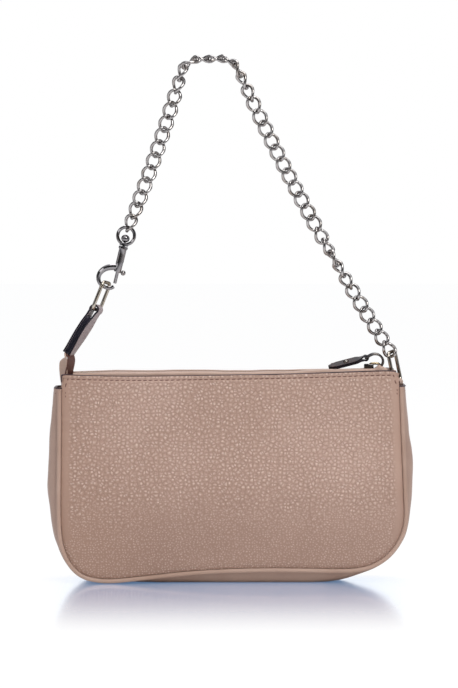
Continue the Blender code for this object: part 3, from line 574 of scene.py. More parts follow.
def polished(name, colour, worn, rough):
    """Plated metal with a little haze and fine rubbing."""
    made = Finish(name, Metallic=1.0, Specular_Tint=(0.12, 0.12, 0.14, 1.0))
    haze = made.speckle(160.0, 3.0)
    rubbed = made.speckle(900.0, at=made.stretched((1.0, 1.0, 7.0)))
    tone = made.mix(made.level(haze, 0.4, 0.75), colour, worn)
    hazy = rough + haze * 0.08 + (rubbed - 0.5) * 0.05
    return made.put(rubbed * 0.5 + haze, 0.35, 0.000012, Base_Color=tone, Roughness=hazy)


def woven(name, base, light, pitch):
    """Plain cloth weave on the piece's own place."""
    made = Finish(name)
    warp, side, weft = (made.bands(way, 0.314 / pitch, 0.3) for way in "XYZ")
    weave = warp * weft + side * 0.5
    slub = made.speckle(300.0, 3.0)
    colour = made.mix(weave * 0.6 + slub * 0.3, base, light)
    return made.put(weave + slub * 0.4, 0.6, 0.0002, Base_Color=colour, Roughness=0.85 + slub * 0.1)


panel_finish = pebbled_leather()
beige_finish = smooth_leather("beige_leather", (0.425, 0.278, 0.213), (0.50, 0.345, 0.275))
gusset_finish = smooth_leather("gusset_leather", (0.385, 0.255, 0.205), (0.455, 0.315, 0.255))
# brown leather for the right ring loop's edges, and painted shade on the base strap's far leg
brown_edge_and_painted_shade_finish = smooth_leather("brown_edge_and_painted_shade_leather", (0.085, 0.030, 0.024), (0.150, 0.062, 0.048))
blush_finish = smooth_leather("blush_leather", (0.31, 0.245, 0.25), (0.42, 0.34, 0.34))
paint_finish = edge_paint("edge_paint", (0.030, 0.012, 0.016), (0.075, 0.030, 0.036), 0.34)
navy_finish = edge_paint("navy_paint", (0.006, 0.006, 0.012), (0.018, 0.014, 0.026), 0.16)
dark_finish = dark_leather()
pale_thread_finish = thread("pale_thread", (0.56, 0.48, 0.46))
brown_thread_finish = thread("brown_thread", (0.19, 0.085, 0.065))
chain_finish = polished("chain_metal", (0.50, 0.48, 0.475), (0.38, 0.34, 0.31), 0.06)
ring_finish = polished("ring_metal", (0.58, 0.53, 0.46), (0.46, 0.38, 0.28), 0.06)
snap_finish = polished("snap_metal", (0.30, 0.29, 0.30), (0.40, 0.36, 0.34), 0.07)
zip_finish = polished("zip_metal", (0.62, 0.50, 0.31), (0.50, 0.39, 0.24), 0.18)
dull_finish = polished("dark_zip_metal", (0.13, 0.125, 0.13), (0.22, 0.20, 0.18), 0.16)
spring_finish = polished("spring_steel", (0.55, 0.55, 0.55), (0.45, 0.45, 0.45), 0.30)
tape_finish = woven("zip_cloth", (0.30, 0.20, 0.155), (0.42, 0.30, 0.24), 0.00045)
lining_finish = woven("lining_cloth", (0.22, 0.16, 0.13), (0.33, 0.25, 0.21), 0.0006)


# ---------------------------------------------------------------- bag body


def half_depth(z):
    return depth_low + (depth_top - depth_low) * min(max(z / panel_height, 0), 1)


def seam(count):
    """The seam's stations: the point at Y 0, the swell and the direction out of the bag."""
    rows = [
        (x * half_width, panel_rise + z * panel_height, s * gusset_swell)
        for x, z, s in smooth_through(seam_shares, count)
    ]
    found = []
    for i, (x, z, swell) in enumerate(rows):
        ahead, behind = rows[min(i + 1, count - 1)], rows[max(i - 1, 0)]
        along = Vector((ahead[0] - behind[0], 0, ahead[1] - behind[1])).normalized()
        found.append((Vector((x, 0, z)), swell, Vector((along.z, 0, -along.x))))
    return found


seam_steps = 240
seam_line = seam(seam_steps)
inner_line = [at + out * 0.26 * MM for at, _, out in seam_line]
covered = [row for row in seam_line if row[0].z < (gusset_top if row[0].x < 0 else right_gusset_top)]


def run_of(path, count):
    return [p for p, _ in spaced(path, count=count)]


def nearest(first, last, x, z):
    """The point of the inner line, from first to last, that lies nearest to a place."""
    return min(range(first, last), key=lambda i: abs(inner_line[i].x - x) + abs(inner_line[i].z - z))


def panel_edges(columns, rows):
    """The four edges of a panel as rows of points: left, right, low and top."""
    half = seam_steps // 2
    low_left = nearest(0, half, -0.935 * half_width, 11.5 * MM)
    low_right = nearest(half, seam_steps, 0.945 * half_width, 19.5 * MM)
    top = [(x * half_width, 0, panel_rise + z * panel_height) for x, z in top_edge_shares]
    top = smooth_through([tuple(inner_line[0]), *top, tuple(inner_line[-1])], 90)
    left = run_of(inner_line[: low_left + 1][::-1], rows)
    right = run_of(inner_line[low_right:], rows)
    low = run_of(inner_line[low_left : low_right + 1], columns)
    return left, right, low, run_of([Vector(p) for p in top], columns)


def reach_to(points, line):
    """Each point's distance to a line of points."""
    a = np.array([[p.x, p.z] for p in points])
    b = np.array([[p.x, p.z] for p in line])
    return np.sqrt(((a[:, None, :] - b[None, :, :]) ** 2).sum(2)).min(1)


# Creases across the near panel, in millimetres: x and z of the start, reach and depth
creases = (
    (-97, 97.4, 17, 0.9), (-97, 92.0, 13, 0.9), (-97, 88.6, 15, 1.0), (-97, 80.5, 9, 0.5),
    (-97, 58, 10, 0.4), (99, 95, 9, 0.25), (99, 70, 12, 0.25), (100, 52, 9, 0.25),
)


def fullness(x, z):
    """Slow swells and dents of the leather, in metres."""
    slow = noise.noise(Vector((x * 22, 3.1, z * 26))) * 0.9
    return (slow + noise.noise(Vector((x * 55, 7.7, z * 60))) * 0.35) * 0.7 * MM


def creased(x, z):
    """How deep the creases are at a place."""
    found = 0.0
    for start_x, start_z, reach, depth in creases:
        away = abs(x - start_x * MM)
        wave = z - start_z * MM - 1.2 * MM * sin(away / (5 * MM))
        found += depth * MM * bell(wave, 0.9 * MM) * (1 - ease(away, 0.3 * reach * MM, reach * MM))
    return found


def panel_shell(label, side):
    """A pebbled panel: a flat cut, bowed, sagging, creased and drawn in along its seams."""
    columns, rows = 132, 84
    left, right, low, top = panel_edges(columns, rows)
    shares = []

    def flat_place(u, v):
        v = v / 0.79 * 0.935 if v < 0.79 else 0.935 + (v - 0.79) / 0.21 * 0.065
        shares.append((u, v))
        i, j = u * columns, v * rows
        a, b = min(int(i), columns - 1), min(int(j), rows - 1)
        low_u, top_u = low[a].lerp(low[a + 1], i - a), top[a].lerp(top[a + 1], i - a)
        left_v, right_v = left[b].lerp(left[b + 1], j - b), right[b].lerp(right[b + 1], j - b)
        edges = low_u * (1 - v) + top_u * v + left_v * (1 - u) + right_v * u
        corners = (low[0] * (1 - u) + low[-1] * u) * (1 - v) + (top[0] * (1 - u) + top[-1] * u) * v
        return edges - corners

    sheet = cut_sheet(f"{label}_panel_leather", columns, rows, flat_place)
    points = [p.co.copy() for p in sheet.data.vertices]
    edge = reach_to(points, inner_line)
    side_edge = reach_to(points, [p for p in inner_line if p.z > 27 * MM])
    sewn = reach_to(points, [p - straight_up * stitch_drop for p in top])
    for point, (u, v), d, e in zip(sheet.data.vertices, shares, edge, sewn):
        x, z = point.co.x, point.co.z
        arch = 4 * u * (1 - u)
        bow = max(arch, 0) ** 0.7 * max(4 * v * (1 - v), 0) ** 0.62
        out = half_depth(z) + panel_thickness + 2.3 * MM * bow + 0.9 * MM * bell(v - 0.32, 0.26) * arch
        out += fullness(x, z) * ease(d, 0, 16 * MM) * (1 if side < 0 else 0.8)
        out -= 0.95 * MM * bell(d, 1.4 * MM) * (1 - ease(v, 0.985, 1))
        out -= 0.34 * MM * bell(e, 0.55 * MM)
        out += 0.22 * MM * bell(e - 1.5 * MM, 0.7 * MM) * ease(v, 0.972, 0.985)
        if side < 0:
            out -= creased(x, z)
        point.co.y = side * out
    grained = [ease(d, 3.2 * MM, 6.2 * MM) * ease(e, 0.4 * MM, 1.3 * MM) for d, e in zip(side_edge, sewn)]
    upward = [ease(p.z, 5 * MM, 95 * MM) for p in points]
    for name, values in (("seam_share", grained), ("height_share", upward)):
        sheet.data.attributes.new(name, "FLOAT", "POINT").data.foreach_set("value", values)
    if side > 0:
        flipped(sheet)
    thickened(sheet, panel_leather, -1)
    smoothed(sheet, 60)
    return finished(sheet, panel_finish, "bag", "panel_leather", f"{label}_panel")


def bead(name, path, wide, tall, flat=across_bag):
    """A bead of edge paint along a cut edge, wider than it is tall."""
    points = np.array([tuple(p) for p in path])

    def pressed(point):
        near = Vector(points[((points - np.array(point)) ** 2).sum(1).argmin()])
        off = point - near
        along = flat * off.dot(flat)
        full = 0.72 + 0.45 * ease(near.x, 5 * MM, 85 * MM)
        return near + along * wide / MM + (off - along) * full * tall / MM

    cord = reshaped(wire(name, path, 1 * MM, sides=8), pressed)
    return finished(cord, paint_finish, "bag", "dark_leather")


def panel_edge(label, side):
    """The dark painted top edge of a panel, down a little way at its corners."""
    top = panel_edges(120, 10)[3]
    left = [p for p in inner_line[:20] if p.z > 115.6 * MM][::-1]
    path = []
    for k, p in enumerate([*left, top[0] + Vector((0.1, 0, 0.1)) * MM, *top[2:-1]]):
        outer = 1 - ease(p.x, -96.5 * MM, -88 * MM)
        x = p.x - 0.5 * MM * outer * (k < len(left))
        y = side * (half_depth(p.z) + (0.95 + 0.5 * outer) * MM)
        path.append(Vector((x, y, p.z + (0.1 + 0.35 * outer) * MM)))
    return bead(f"{label}_panel_edge", path, 1.08 * MM, 0.5 * MM)


def gusset_point(v, row, inner=0.0):
    at, swell, out = row
    full = max(1 - abs(v) ** 5, 0) ** 0.62
    point = at + out * (swell * full - inner)
    return Vector((point.x, v * (half_depth(at.z) - gusset_edge_gap), max(point.z, inner)))


def gusset_shell():
    """The side and bottom leather, swelling past the seams, with soft puckers and a flat sole."""
    rows = len(covered) - 1

    def place(u, v):
        i = u * rows
        a = min(int(i), rows - 1)
        share = i - a
        (at, swell, out), (next_at, next_swell, next_out) = covered[a : a + 2]
        swell += (next_swell - swell) * share + left_swell * ease(at.z, 45 * MM, 100 * MM) * (at.x < 0)
        out = out.lerp(next_out, share).normalized()
        w = v * 2 - 1
        w = copysign(abs(w) ** 0.8, w)
        point = gusset_point(w, (at.lerp(next_at, share), swell, out))
        if point.z > 20 * MM:
            pucker = noise.noise(Vector((point.x * 70, w * 2.0, point.z * 90))) * 0.55 * MM
            point += out * pucker * (1 - w * w)
        lift = 1.0 * MM * (1 - ease(point.x, -72 * MM, -34 * MM))
        return Vector((point.x, point.y, max(point.z, lift)))

    sheet = cut_sheet("gusset_leather", 236, 26, place)
    thickened(sheet, side_leather, 1)
    reshaped(sheet, lambda p: Vector((p.x, p.y, max(p.z, 0.0))))
    smoothed(outwards(sheet), 60)
    return finished(sheet, gusset_finish, "bag", "smooth_leather", "gusset")


def gusset_top_trim(label, row):
    """The painted edge across a gusset's top and two short rows of stitches under it."""
    at, swell, out = row
    row = (at, swell + (left_swell if at.x < 0 else 0.0), out)
    path = [gusset_point(v / 10, row, 0.6 * MM) + straight_up * 0.15 * MM for v in range(-10, 11)]
    bead(f"{label}_gusset_edge", path, 0.62 * MM, 0.9 * MM, straight_up)
    for number, drop in ((1, 2.7), (2, 4.4)):
        path = [gusset_point(v / 10, row, -0.04 * MM) - straight_up * drop * MM for v in range(-8, 9)]
        seam_stitches(f"{label}_gusset_stitches_{number}", path, out, (2.6, 2.1, 0.26), "smooth_leather")


def piping(label, side):
    """The leather-covered cord along a seam."""
    path = []
    for at, _, out in covered:
        x, _, z = at + out * piping_offset
        path.append(Vector((x, side * (half_depth(at.z) + piping_side), max(z, piping_radius))))
    cord = wire(f"{label}_welt", path, piping_radius)
    return finished(cord, beige_finish, "bag", "smooth_leather", f"{label}_piping")


def lining_pouch():
    """The cloth pouch, open at the top, with slack folds."""
    low, high = 11.5 * MM, 116.3 * MM
    rings = []
    for share, drawn in (
        (0, 9), (0.03, 5), (0.1, 2), (0.22, 0.5), (0.4, 0), (0.6, 0), (0.8, 0), (0.93, 0), (1, 0)
    ):
        z = low + (high - low) * share
        near = [p.x for p, _, _ in seam_line if abs(p.z - z) < 3 * MM]
        inset = (5.4 + drawn) * MM
        rings.append((min(near) + inset, max(near) - inset, half_depth(z) - (0.5 + drawn / 2) * MM, z))

    def place(u, v):
        i = v * (len(rings) - 1)
        a = min(int(i), len(rings) - 2)
        left, right, deep, z = (p + (q - p) * (i - a) for p, q in zip(rings[a], rings[a + 1]))
        c, s = (copysign(abs(k) ** 0.35, k) for k in (cos(2 * pi * u), sin(2 * pi * u)))
        x, y = (left + right) / 2 + (right - left) / 2 * c, deep * s
        fold = 0.6 * MM * sin(x * 300 + z * 90) * (1 - v)
        return Vector((x, y - copysign(max(fold, 0), y), z))

    sheet = cut_sheet("lining_pouch", 120, 24, place)
    opened(sheet)
    bpy.ops.mesh.remove_doubles(threshold=1e-5)
    shut()
    opened(sheet, "VERT", lambda p: p.co.z < low + 0.01 * MM)
    bpy.ops.mesh.edge_face_add()
    bpy.ops.mesh.normals_make_consistent(inside=False)
    shut()
    thickened(outwards(sheet), 0.5 * MM, -1)
    smoothed(sheet, 60)
    return finished(sheet, lining_finish, "bag", "lining_cloth", "lining")


# ---------------------------------------------------------------- sewing


def stitch_shape(name, length, radius):
    """One stitch: a short thread sunk at both ends."""
    bpy.ops.mesh.primitive_uv_sphere_add(segments=6, ring_count=6, radius=1)

    def drawn(p):
        return Vector((p.z * length / 2, p.x * radius, p.y * radius - p.z * p.z * radius * 0.5))

    return reshaped(named(name), drawn)


def stitched(name, places, length, radius):
    """A stitch at every place, as one piece."""
    shape = stitch_shape(name + "_shape", length, radius)
    row = scattered(name, shape, places)
    removed(shape)
    return row


def seam_stitches(name, path, normal, sizes, slot, sink=0.2):
    """Stitches along a path, slightly aslant: their pitch, length and radius in millimetres."""
    pitch, length, radius = (size * MM for size in sizes)
    places = []
    for at, along in spaced(path, pitch):
        up = (normal - along * normal.dot(along)).normalized()
        tilt = Quaternion(up, 0.10) @ along
        places.append(frame_at(at - up * radius * sink, tilt, up.cross(tilt), up))
    return finished(stitched(name, places, length, radius), brown_thread_finish, "bag", slot)


def side_rows(name, start, run, cross, up, sizes):
    """Two rows of stitches along a tab's sides, flat on one face."""
    pitch, length, radius = (size * MM for size in sizes)
    places = []
    for first in (start - cross, start + cross):
        for at, along in spaced([first, first + run], pitch):
            places.append(frame_at(at, along, up.cross(along), up))
    return stitched(name, places, length, radius)


def laid_on(piece, points, way):
    """Points dropped onto a piece's surface from outside, along a direction."""
    faces = [tuple(f.vertices) for f in piece.data.polygons]
    surface = BVHTree.FromPolygons([p.co.copy() for p in piece.data.vertices], faces)
    return [surface.ray_cast(p - way * 50 * MM, way)[0] or p for p in points]


def panel_top_stitches(panel, label, side):
    """The stitch line under the painted edge, running down a little at both ends, with its tacks."""
    top = panel_edges(120, 10)[3]
    line = [p - straight_up * stitch_drop for p in top[2:-2]]
    line = [line[0] - Vector((1.2, 0, 3.4)) * MM, *line, line[-1] + Vector((1.0, 0, -3.6)) * MM]
    rows = [("top_stitches", line, (3.2, 3.05, 0.34))]
    for tack, x, z in (("left_tack", -95.7, 110.9), ("right_tack", 96.6, 112.5)):
        rows.append((tack, [Vector((x, 0, z - k * 0.7)) * MM for k in range(4)], (1.9, 1.2, 0.26)))
    for name, line, sizes in rows:
        path = laid_on(panel, line, Vector((0, -side, 0)))
        seam_stitches(f"{label}_{name}", path, Vector((0, side, 0)), sizes, "panel_leather", 0.1)


# ---------------------------------------------------------------- zip


def facing_strip(label, side):
    """The leather strip from a panel's top edge over to the zip."""
    top = zip_height + 2.0 * MM
    edge = depth_top - leather_gap
    outer = ((0, 7.0), (0, 4.0), (0, 2.0), (0.35, 0.9), (1.1, 0.25), (2.2, 0))
    inner = ((9.0, 0), (7.0, 0), (5.6, 0.02), (4.75, 0.12))
    profile = [(edge - y * MM, top - drop * MM) for y, drop in outer]
    rows = smooth_through(profile + [(y * MM, top - drop * MM) for y, drop in inner], 22)
    hump = 84.4 * MM

    def place(u, v):
        y, z = rows[min(int(round(v * 21)), 21)]
        x = zip_left + (cloth_right - zip_left) * u
        wave = 0.25 * MM * sin(u * 21) * ease(v, 0.3, 0.6)
        wave += 0.12 * MM * noise.noise(Vector((x * 120, y * 80, 0)))
        dip = 1.42 * MM * (1 - 0.62 * ease(x, -94 * MM, -58 * MM)) * (1 - ease(x, 32 * MM, 50 * MM))
        dip = max(dip, 0.35 * MM if side > 0 else 0)
        stand = (1.0 if side < 0 else 0.6) * MM * ease(x, 36 * MM, 58 * MM)
        if side < 0:
            stand += 3.3 * MM * ease(x, hump, 86.0 * MM) * (1 - (x - hump) / (7.0 * MM))
        return Vector((x, side * y, z + min(wave, 0.1 * MM) + (stand - dip) * ease(v, 0.12, 0.45)))

    sheet = cut_sheet(f"{label}_facing_leather", 150, 21, place)
    if side > 0:
        flipped(sheet)
    thickened(sheet, side_leather, -1)
    for point in sheet.data.vertices:
        if abs(point.co.y) < 10 * MM:
            point.co.z = max(point.co.z, zip_height + 0.25 * MM)
    smoothed(outwards(sheet), 50)
    return finished(sheet, beige_finish, "bag", "smooth_leather", f"{label}_facing")


def zip_tape(label, side):
    """One of the zip's two cloth tapes, under its facing."""
    low, high = 2.9 * MM, 9.6 * MM

    def place(u, v):
        x = zip_left + (cloth_right - zip_left) * u
        return Vector((x, side * (low + (high - low) * v), zip_height + 0.06 * MM * sin(v * 18)))

    sheet = cut_sheet(f"{label}_tape_cloth", 90, 16, place)
    outwards(thickened(sheet, 0.5 * MM, 0))
    return finished(sheet, tape_finish, "bag", "zip_cloth", f"{label}_zip_tape")


tooth_pitch = 2.8 * MM
first_tooth = zip_left + 6.45 * MM
teeth_end = 87.2 * MM


def tooth_rows():
    """Both rows of teeth, each tooth with a clamped foot, a neck and a cupped head."""
    half = ((0.62, 1.7), (0.36, 1.25), (0.36, 0.55), (0.5, 0.1), (0.45, -0.45))
    outline = [(-0.62, 2.75), (0.62, 2.75), *half, (0.0, -0.62), *((-x, y) for x, y in half[::-1])]
    outline = [(x * MM, y * MM) for x, y in outline]
    shape = plate("tooth_shape", outline, -0.85 * MM, 0.85 * MM, 0.15 * MM, 1)
    for label, at, turn in (("back", first_tooth, pi), ("front", first_tooth + tooth_pitch / 2, 0)):
        places = []
        while at < teeth_end:
            places.append(Matrix.Translation((at, 0, zip_height)) @ Matrix.Rotation(turn, 4, "Z"))
            at += tooth_pitch
        row = scattered(f"{label}_tooth_row", shape, places)
        finished(row, zip_finish, "bag", "zip_metal", f"{label}_zip_teeth")
    removed(shape)


def zip_plate(name, outline, low, high, bevel=0.0, segments=2):
    """A plate whose bottom, top and bevel are millimetres from the zip's level."""
    return plate(name, outline, zip_height + low * MM, zip_height + high * MM, bevel * MM, segments)


def zip_ends():
    """The stop and the folded leather ends."""
    outline = box_outline(zip_left + 3.9 * MM, zip_left + 5.3 * MM, 2.6 * MM)
    finished(zip_plate("stop_clip", outline, -0.9, 0.9, 0.3), zip_finish, "bag", "zip_metal", "zip_stop")
    for label, side, end, high in (
        ("left", -1, zip_left - 0.3 * MM, 1.0), ("right", 1, zip_right + 0.3 * MM, 2.6)
    ):
        tip = end - side * 3.6 * MM
        outline = box_outline(min(end, tip), max(end, tip), 4.0 * MM)
        fold = zip_plate(f"{label}_end_fold", outline, 0.55, high)
        top = zip_height + MM
        opened(fold, "EDGE", lambda e: all(p.co.z > top and abs(p.co.x - tip) < 0.1 * MM for p in e.verts))
        bpy.ops.mesh.bevel(offset=high * MM * 0.45, segments=4)
        shut()
        smoothed(bevelled(fold, 0.35 * MM, 3), 60)
        finished(fold, beige_finish, "bag", "smooth_leather", f"{label}_zip_end")


slider_middle = 83.2 * MM


def slider():
    """The slider: two shaped plates with turned edges, a wedge and a crown over the bail."""
    x0, x1 = slider_middle - 5.5 * MM, slider_middle + 5.5 * MM
    middle = slider_middle + 1.2 * MM
    half = [(x0, 2.2), (x0 + 1.0 * MM, 3.2), (x0 + 3.2 * MM, 4.2)]
    half += [(x1 - 1.2 * MM, 4.2), (x1 - 0.2 * MM, 3.7), (x1, 2.6)]
    outline = [(x, -y * MM) for x, y in half] + [(x, y * MM) for x, y in half[::-1]]
    plates = [zip_plate("slider_top", outline, 1.2, 2.2, 0.28, 3)]
    plates.append(zip_plate("slider_under", outline, -2.2, -1.2, 0.28, 3))
    a, b = x0 + 3.0 * MM, x1 - 1.0 * MM
    for name, low, high in (("flange_near", -4.2 * MM, -3.3 * MM), ("flange_far", 3.3 * MM, 4.2 * MM)):
        for z0, z1 in ((-1.7, -0.62), (0.62, 1.7)):
            flange = [(a, low), (b, low), (b, high), (a, high)]
            plates.append(zip_plate(name, flange, z0, z1, 0.2))
    wedge = box_outline(x1 - 1.3 * MM, x1 - 0.1 * MM, 0.75 * MM)
    plates.append(zip_plate("wedge", wedge, -1.7, 1.7, 0.2))
    latch = box_outline(middle - 6.3 * MM, middle - 0.7 * MM, 1.3 * MM)
    plates.append(zip_plate("latch_block", latch, 2.1, 5.5, 0.6, 3))
    arch = [(-1, -0.1), (-0.97, 0.55), (-0.72, 0.93), (-0.3, 1)]
    arch = smooth_through(arch + [(-x, z) for x, z in arch[::-1]], 22)
    path = [Vector((middle + x * 3.3 * MM, 0, zip_height + (2.2 + z * 3.5) * MM)) for x, z in arch]
    finished(wire("crown", path, 0.75 * MM), zip_finish, "zip_slider", "zip_metal")
    body = smoothed(joined("slider_body", plates), 45)
    return finished(body, dull_finish, "zip_slider", "zip_metal", "zip_slider")


# The bail from the side, from its hinge in the crown to the bar in the tab
bail_hinge = Vector((slider_middle + 2.15 * MM, 0, zip_height + 3.15 * MM))
bail_side = ((0, 0), (2.3, 0.8), (3.8, 2.9), (3.5, 5.7), (1.2, 7.8), (-1.9, 8.1), (-4.4, 7.0), (-6.3, 5.8))
tab_hinge = bail_hinge + Vector((bail_side[-1][0], 0, bail_side[-1][1])) * MM


def bail():
    """The bent wire bail between the crown and the tab."""
    rows = [(x * MM, z * MM) for x, z in smooth_through(bail_side, 19)]
    last = len(rows) - 1
    legs = []
    for side, order in ((-1, range(last + 1)), (1, range(last, -1, -1))):
        for i in order:
            x, z = rows[i]
            half = (2.2 + 1.8 * i / last) * MM
            if i in (0, last):
                nx, nz = rows[1] if i == 0 else rows[last - 1]
                inward = Vector((nx - x, 0, nz - z)).normalized() * 0.8 * MM
                corner = [
                    bail_hinge + Vector((x, side * (half - back * MM), z)) + inward * share
                    for back, share in ((0, 1), (0.2, 0.35), (0.7, 0.04), (1.2, 0))
                ]
                legs += corner if (side < 0) == (i == last) else corner[::-1]
            elif i not in (1, last - 1):
                legs.append(bail_hinge + Vector((x, side * half, z)))
    body = wire("bail_wire", legs, 0.68 * MM, closed=True)
    return finished(body, dull_finish, "pull_ring", "zip_metal", "pull_ring")


def strap(name, path, width, thickness, cross, rows=10, edge_round=0.25):
    """A strap of leather along a path: a sheet of that width, thickened, its edges eased.
    Its rim takes the second finish."""
    count = len(path) - 1
    sides = cross if isinstance(cross, list) else [cross] * len(path)

    def place(u, v):
        i = u * count
        a = min(int(i), count - 1)
        wide = sides[a].lerp(sides[a + 1], i - a).normalized()
        return path[a].lerp(path[a + 1], i - a) + wide * width * (v - 0.5)

    sheet = cut_sheet(name, count, rows, place)
    sheet.data.materials.append(None)
    sheet.data.materials.append(None)
    thickened(sheet, thickness, 0, use_even_offset=True, material_offset_rim=1)
    bevelled(sheet, edge_round * thickness, 2, 50)
    return smoothed(outwards(sheet), 50)


def fine_path(points, pitch=1.2 * MM):
    """The same path in short steps."""
    found = []
    for a, b in zip(points, points[1:]):
        steps = max(int(round((b - a).length / pitch)), 1)
        found += [a.lerp(b, k / steps) for k in range(steps)]
    return found + [points[-1]]


def pull_leather():
    """The riveted leather tab on the bail, twisting a little as it leaves it."""
    droop = radians(14.5)
    away = Vector((-cos(droop), 0, -sin(droop)))
    up = Vector((-sin(droop), 0, cos(droop)))
    half = up * 0.6 * MM
    tail, grip = tab_hinge + away * 22.4 * MM, tab_hinge + away * 3.4 * MM

    def rolled_off(piece):
        return rolled(piece, tab_hinge, away, lambda gone: -24 * ease(gone, 1.0 * MM, 6.0 * MM))

    path = fine_path([tail + half, grip + half]) + arc(tab_hinge, 1.45 * MM, 130, -130, 14, -away, up)
    path += fine_path([grip - half, tail - half])
    leather = strap("pull_leather", path, 5.9 * MM, 0.9 * MM, across_bag, 8)
    for point in leather.data.vertices:
        share = (point.co - tail).dot(-away) / (5.0 * MM)
        if share < 1:
            point.co.y *= 0.22 + 0.78 * max(share, 0) ** 0.6
    finished(rolled_off(leather), [dark_finish, navy_finish], "pull_tab", "dark_leather", "pull_tab")
    face = 1.05
    head = [(0, 0.95), (0.7, 0.9), (1.25, 0.66), (1.62, 0.3), (1.7, 0.05), (1.7, -0.1), (0.6, -0.1)]
    head = [(r * MM, (face + h) * MM) for r, h in head]
    middle = tab_hinge + away * 20.2 * MM * 0.58
    rivet = turned("rivet_heads", head + [(r, -h) for r, h in head[::-1]], middle, up, 20)
    finished(rolled_off(rivet), dull_finish, "pull_tab", "zip_metal", "pull_rivet")
    for name, way in (("pull_stitches_top", up), ("pull_stitches_under", -up)):
        start = tail - away * 2.5 * MM + way * (face + 0.02) * MM
        row = side_rows(name, start, -away * 13 * MM, across_bag * 2.2 * MM, way, (1.9, 1.3, 0.16))
        finished(rolled_off(row), brown_thread_finish, "pull_tab", "dark_leather")


# ---------------------------------------------------------------- rings and their straps


def ring_frame(x, z, lean, yaw):
    tip, turn = radians(lean), radians(yaw)
    down = Vector((-sin(tip), 0, -cos(tip)))
    cross = Vector((sin(turn), cos(turn), 0))
    cross = (cross - down * cross.dot(down)).normalized()
    return Vector((x, 0, z)), down, cross


right_ring_length = 18.2 * MM
left_ring_length = 17 * MM
right_frame = ring_frame(94.1 * MM, 133.9 * MM, -11.8, 22)
left_frame = ring_frame(-72.3 * MM, 174.4 * MM, 22, 19)
tab_cross = ring_frame(-72.3 * MM, 174.4 * MM, 22, 21)[2]


ring_wire = 1.05 * MM
ring_width = 12.8 * MM


def wire_ring(name, at, down, cross, length, body, node):
    """A ring of round wire with rounded square shoulders: a plane's edge, its corners bevelled."""
    bpy.ops.mesh.primitive_plane_add(size=1)
    piece = named(name)
    opened(piece)
    bpy.ops.transform.resize(value=(ring_width, length, 1))
    bpy.ops.mesh.bevel(offset=3.0 * MM, segments=7, affect="VERTICES")
    bpy.ops.mesh.select_all(action="SELECT")
    bpy.ops.mesh.delete(type="ONLY_FACE")
    shut()
    piece = converted(piece, "CURVE")
    piece.data.bevel_depth = ring_wire
    piece.data.bevel_resolution = 4
    piece = outwards(converted(piece))
    moved(piece, frame_at(at + down * length / 2, cross, -down, cross.cross(-down)))
    return finished(smoothed(piece, 60), ring_finish, body, "chain_metal", node)


def folded_path(hinge, down, out, layer, hole, split, length):
    """Round a bar and down in two tails side by side."""
    bend = hole + layer / 2
    half = out * (layer + split) / 2
    near, far = hinge + down * 2 * bend, hinge + down * length
    path = fine_path([far + half, near + half]) + arc(hinge, bend, -35, 215, 16, out, -down)
    return path + fine_path([near - half, far - half])


def right_ring_loop():
    """The leather loop that holds the right ring."""
    at, down, cross = right_frame
    flat = Vector((cross.x, cross.y, 0)).normalized()
    fall = Vector((0, 0, -1))
    out = flat.cross(fall).normalized()
    path = folded_path(at + down * right_ring_length, fall, out, 1.0 * MM, 1.45 * MM, 0.3 * MM, 12 * MM)
    loop = strap("ring_loop", path, 6.4 * MM, 1.0 * MM, flat)
    return finished(loop, [beige_finish, brown_edge_and_painted_shade_finish], "bag", "smooth_leather", "right_loop")


def tab_frame():
    """The tab's bar, the way it falls from it, across it and out of its face."""
    at, down, _ = left_frame
    lean = radians(33.8)
    fall = Vector((-sin(lean), 0, -cos(lean)))
    fall = (fall - tab_cross * fall.dot(tab_cross)).normalized()
    return at + down * left_ring_length, fall, tab_cross, tab_cross.cross(fall).normalized()


tab_layer = 1.2 * MM
tab_core = 2.7 * MM
tab_width = 8.4 * MM


def left_tab():
    """The dark-edged tab folded round the left ring, stitched along both edges."""
    hinge, fall, cross, out = tab_frame()

    def rolled_off(piece):
        def degrees(gone):
            return 11.5 * ease(gone, 2 * MM, 12 * MM) * (1 - ease(gone, 15 * MM, 30 * MM)) - 4.8

        return rolled(piece, hinge, fall, degrees)

    path = folded_path(hinge, fall, out, tab_layer, 1.95 * MM, tab_core, 30.7 * MM)
    tab = rolled_off(strap("ring_tab", path, tab_width, tab_layer, cross))
    finished(tab, [blush_finish, navy_finish], "bag", "dark_leather", "left_strap_tab")
    path = fine_path([hinge + fall * 5.2 * MM, hinge + fall * 30.6 * MM], 1.5 * MM)
    core = strap("tab_core", path, tab_width - 0.04 * MM, tab_core + 0.02 * MM, cross, edge_round=0.06)
    rolled_off(core)
    finished(core, [navy_finish, navy_finish], "bag", "dark_leather")
    for name, way in (("tab_stitches_left", -out), ("tab_stitches_right", out)):
        start = hinge + fall * 7 * MM + way * (tab_layer + tab_core / 2)
        row = side_rows(name, start, fall * 20.5 * MM, cross * 3.1 * MM, way, (2.6, 2.0, 0.24))
        finished(rolled_off(row), pale_thread_finish, "bag", "dark_leather")


# The base strap's legs, in millimetres: x and z down into the bag
left_leg = (
    (-96.2, 131.0), (-97.6, 128.0), (-97.9, 124.4), (-97.7, 119.8), (-98.6, 114.8),
    (-99.6, 109.0), (-100.2, 103.0),
)
right_leg = (
    (-93.3, 130.4), (-93.4, 127.4), (-94.2, 123.6), (-95.1, 119.6), (-96.7, 114.8),
    (-98.3, 109.0), (-99.0, 103.0),
)


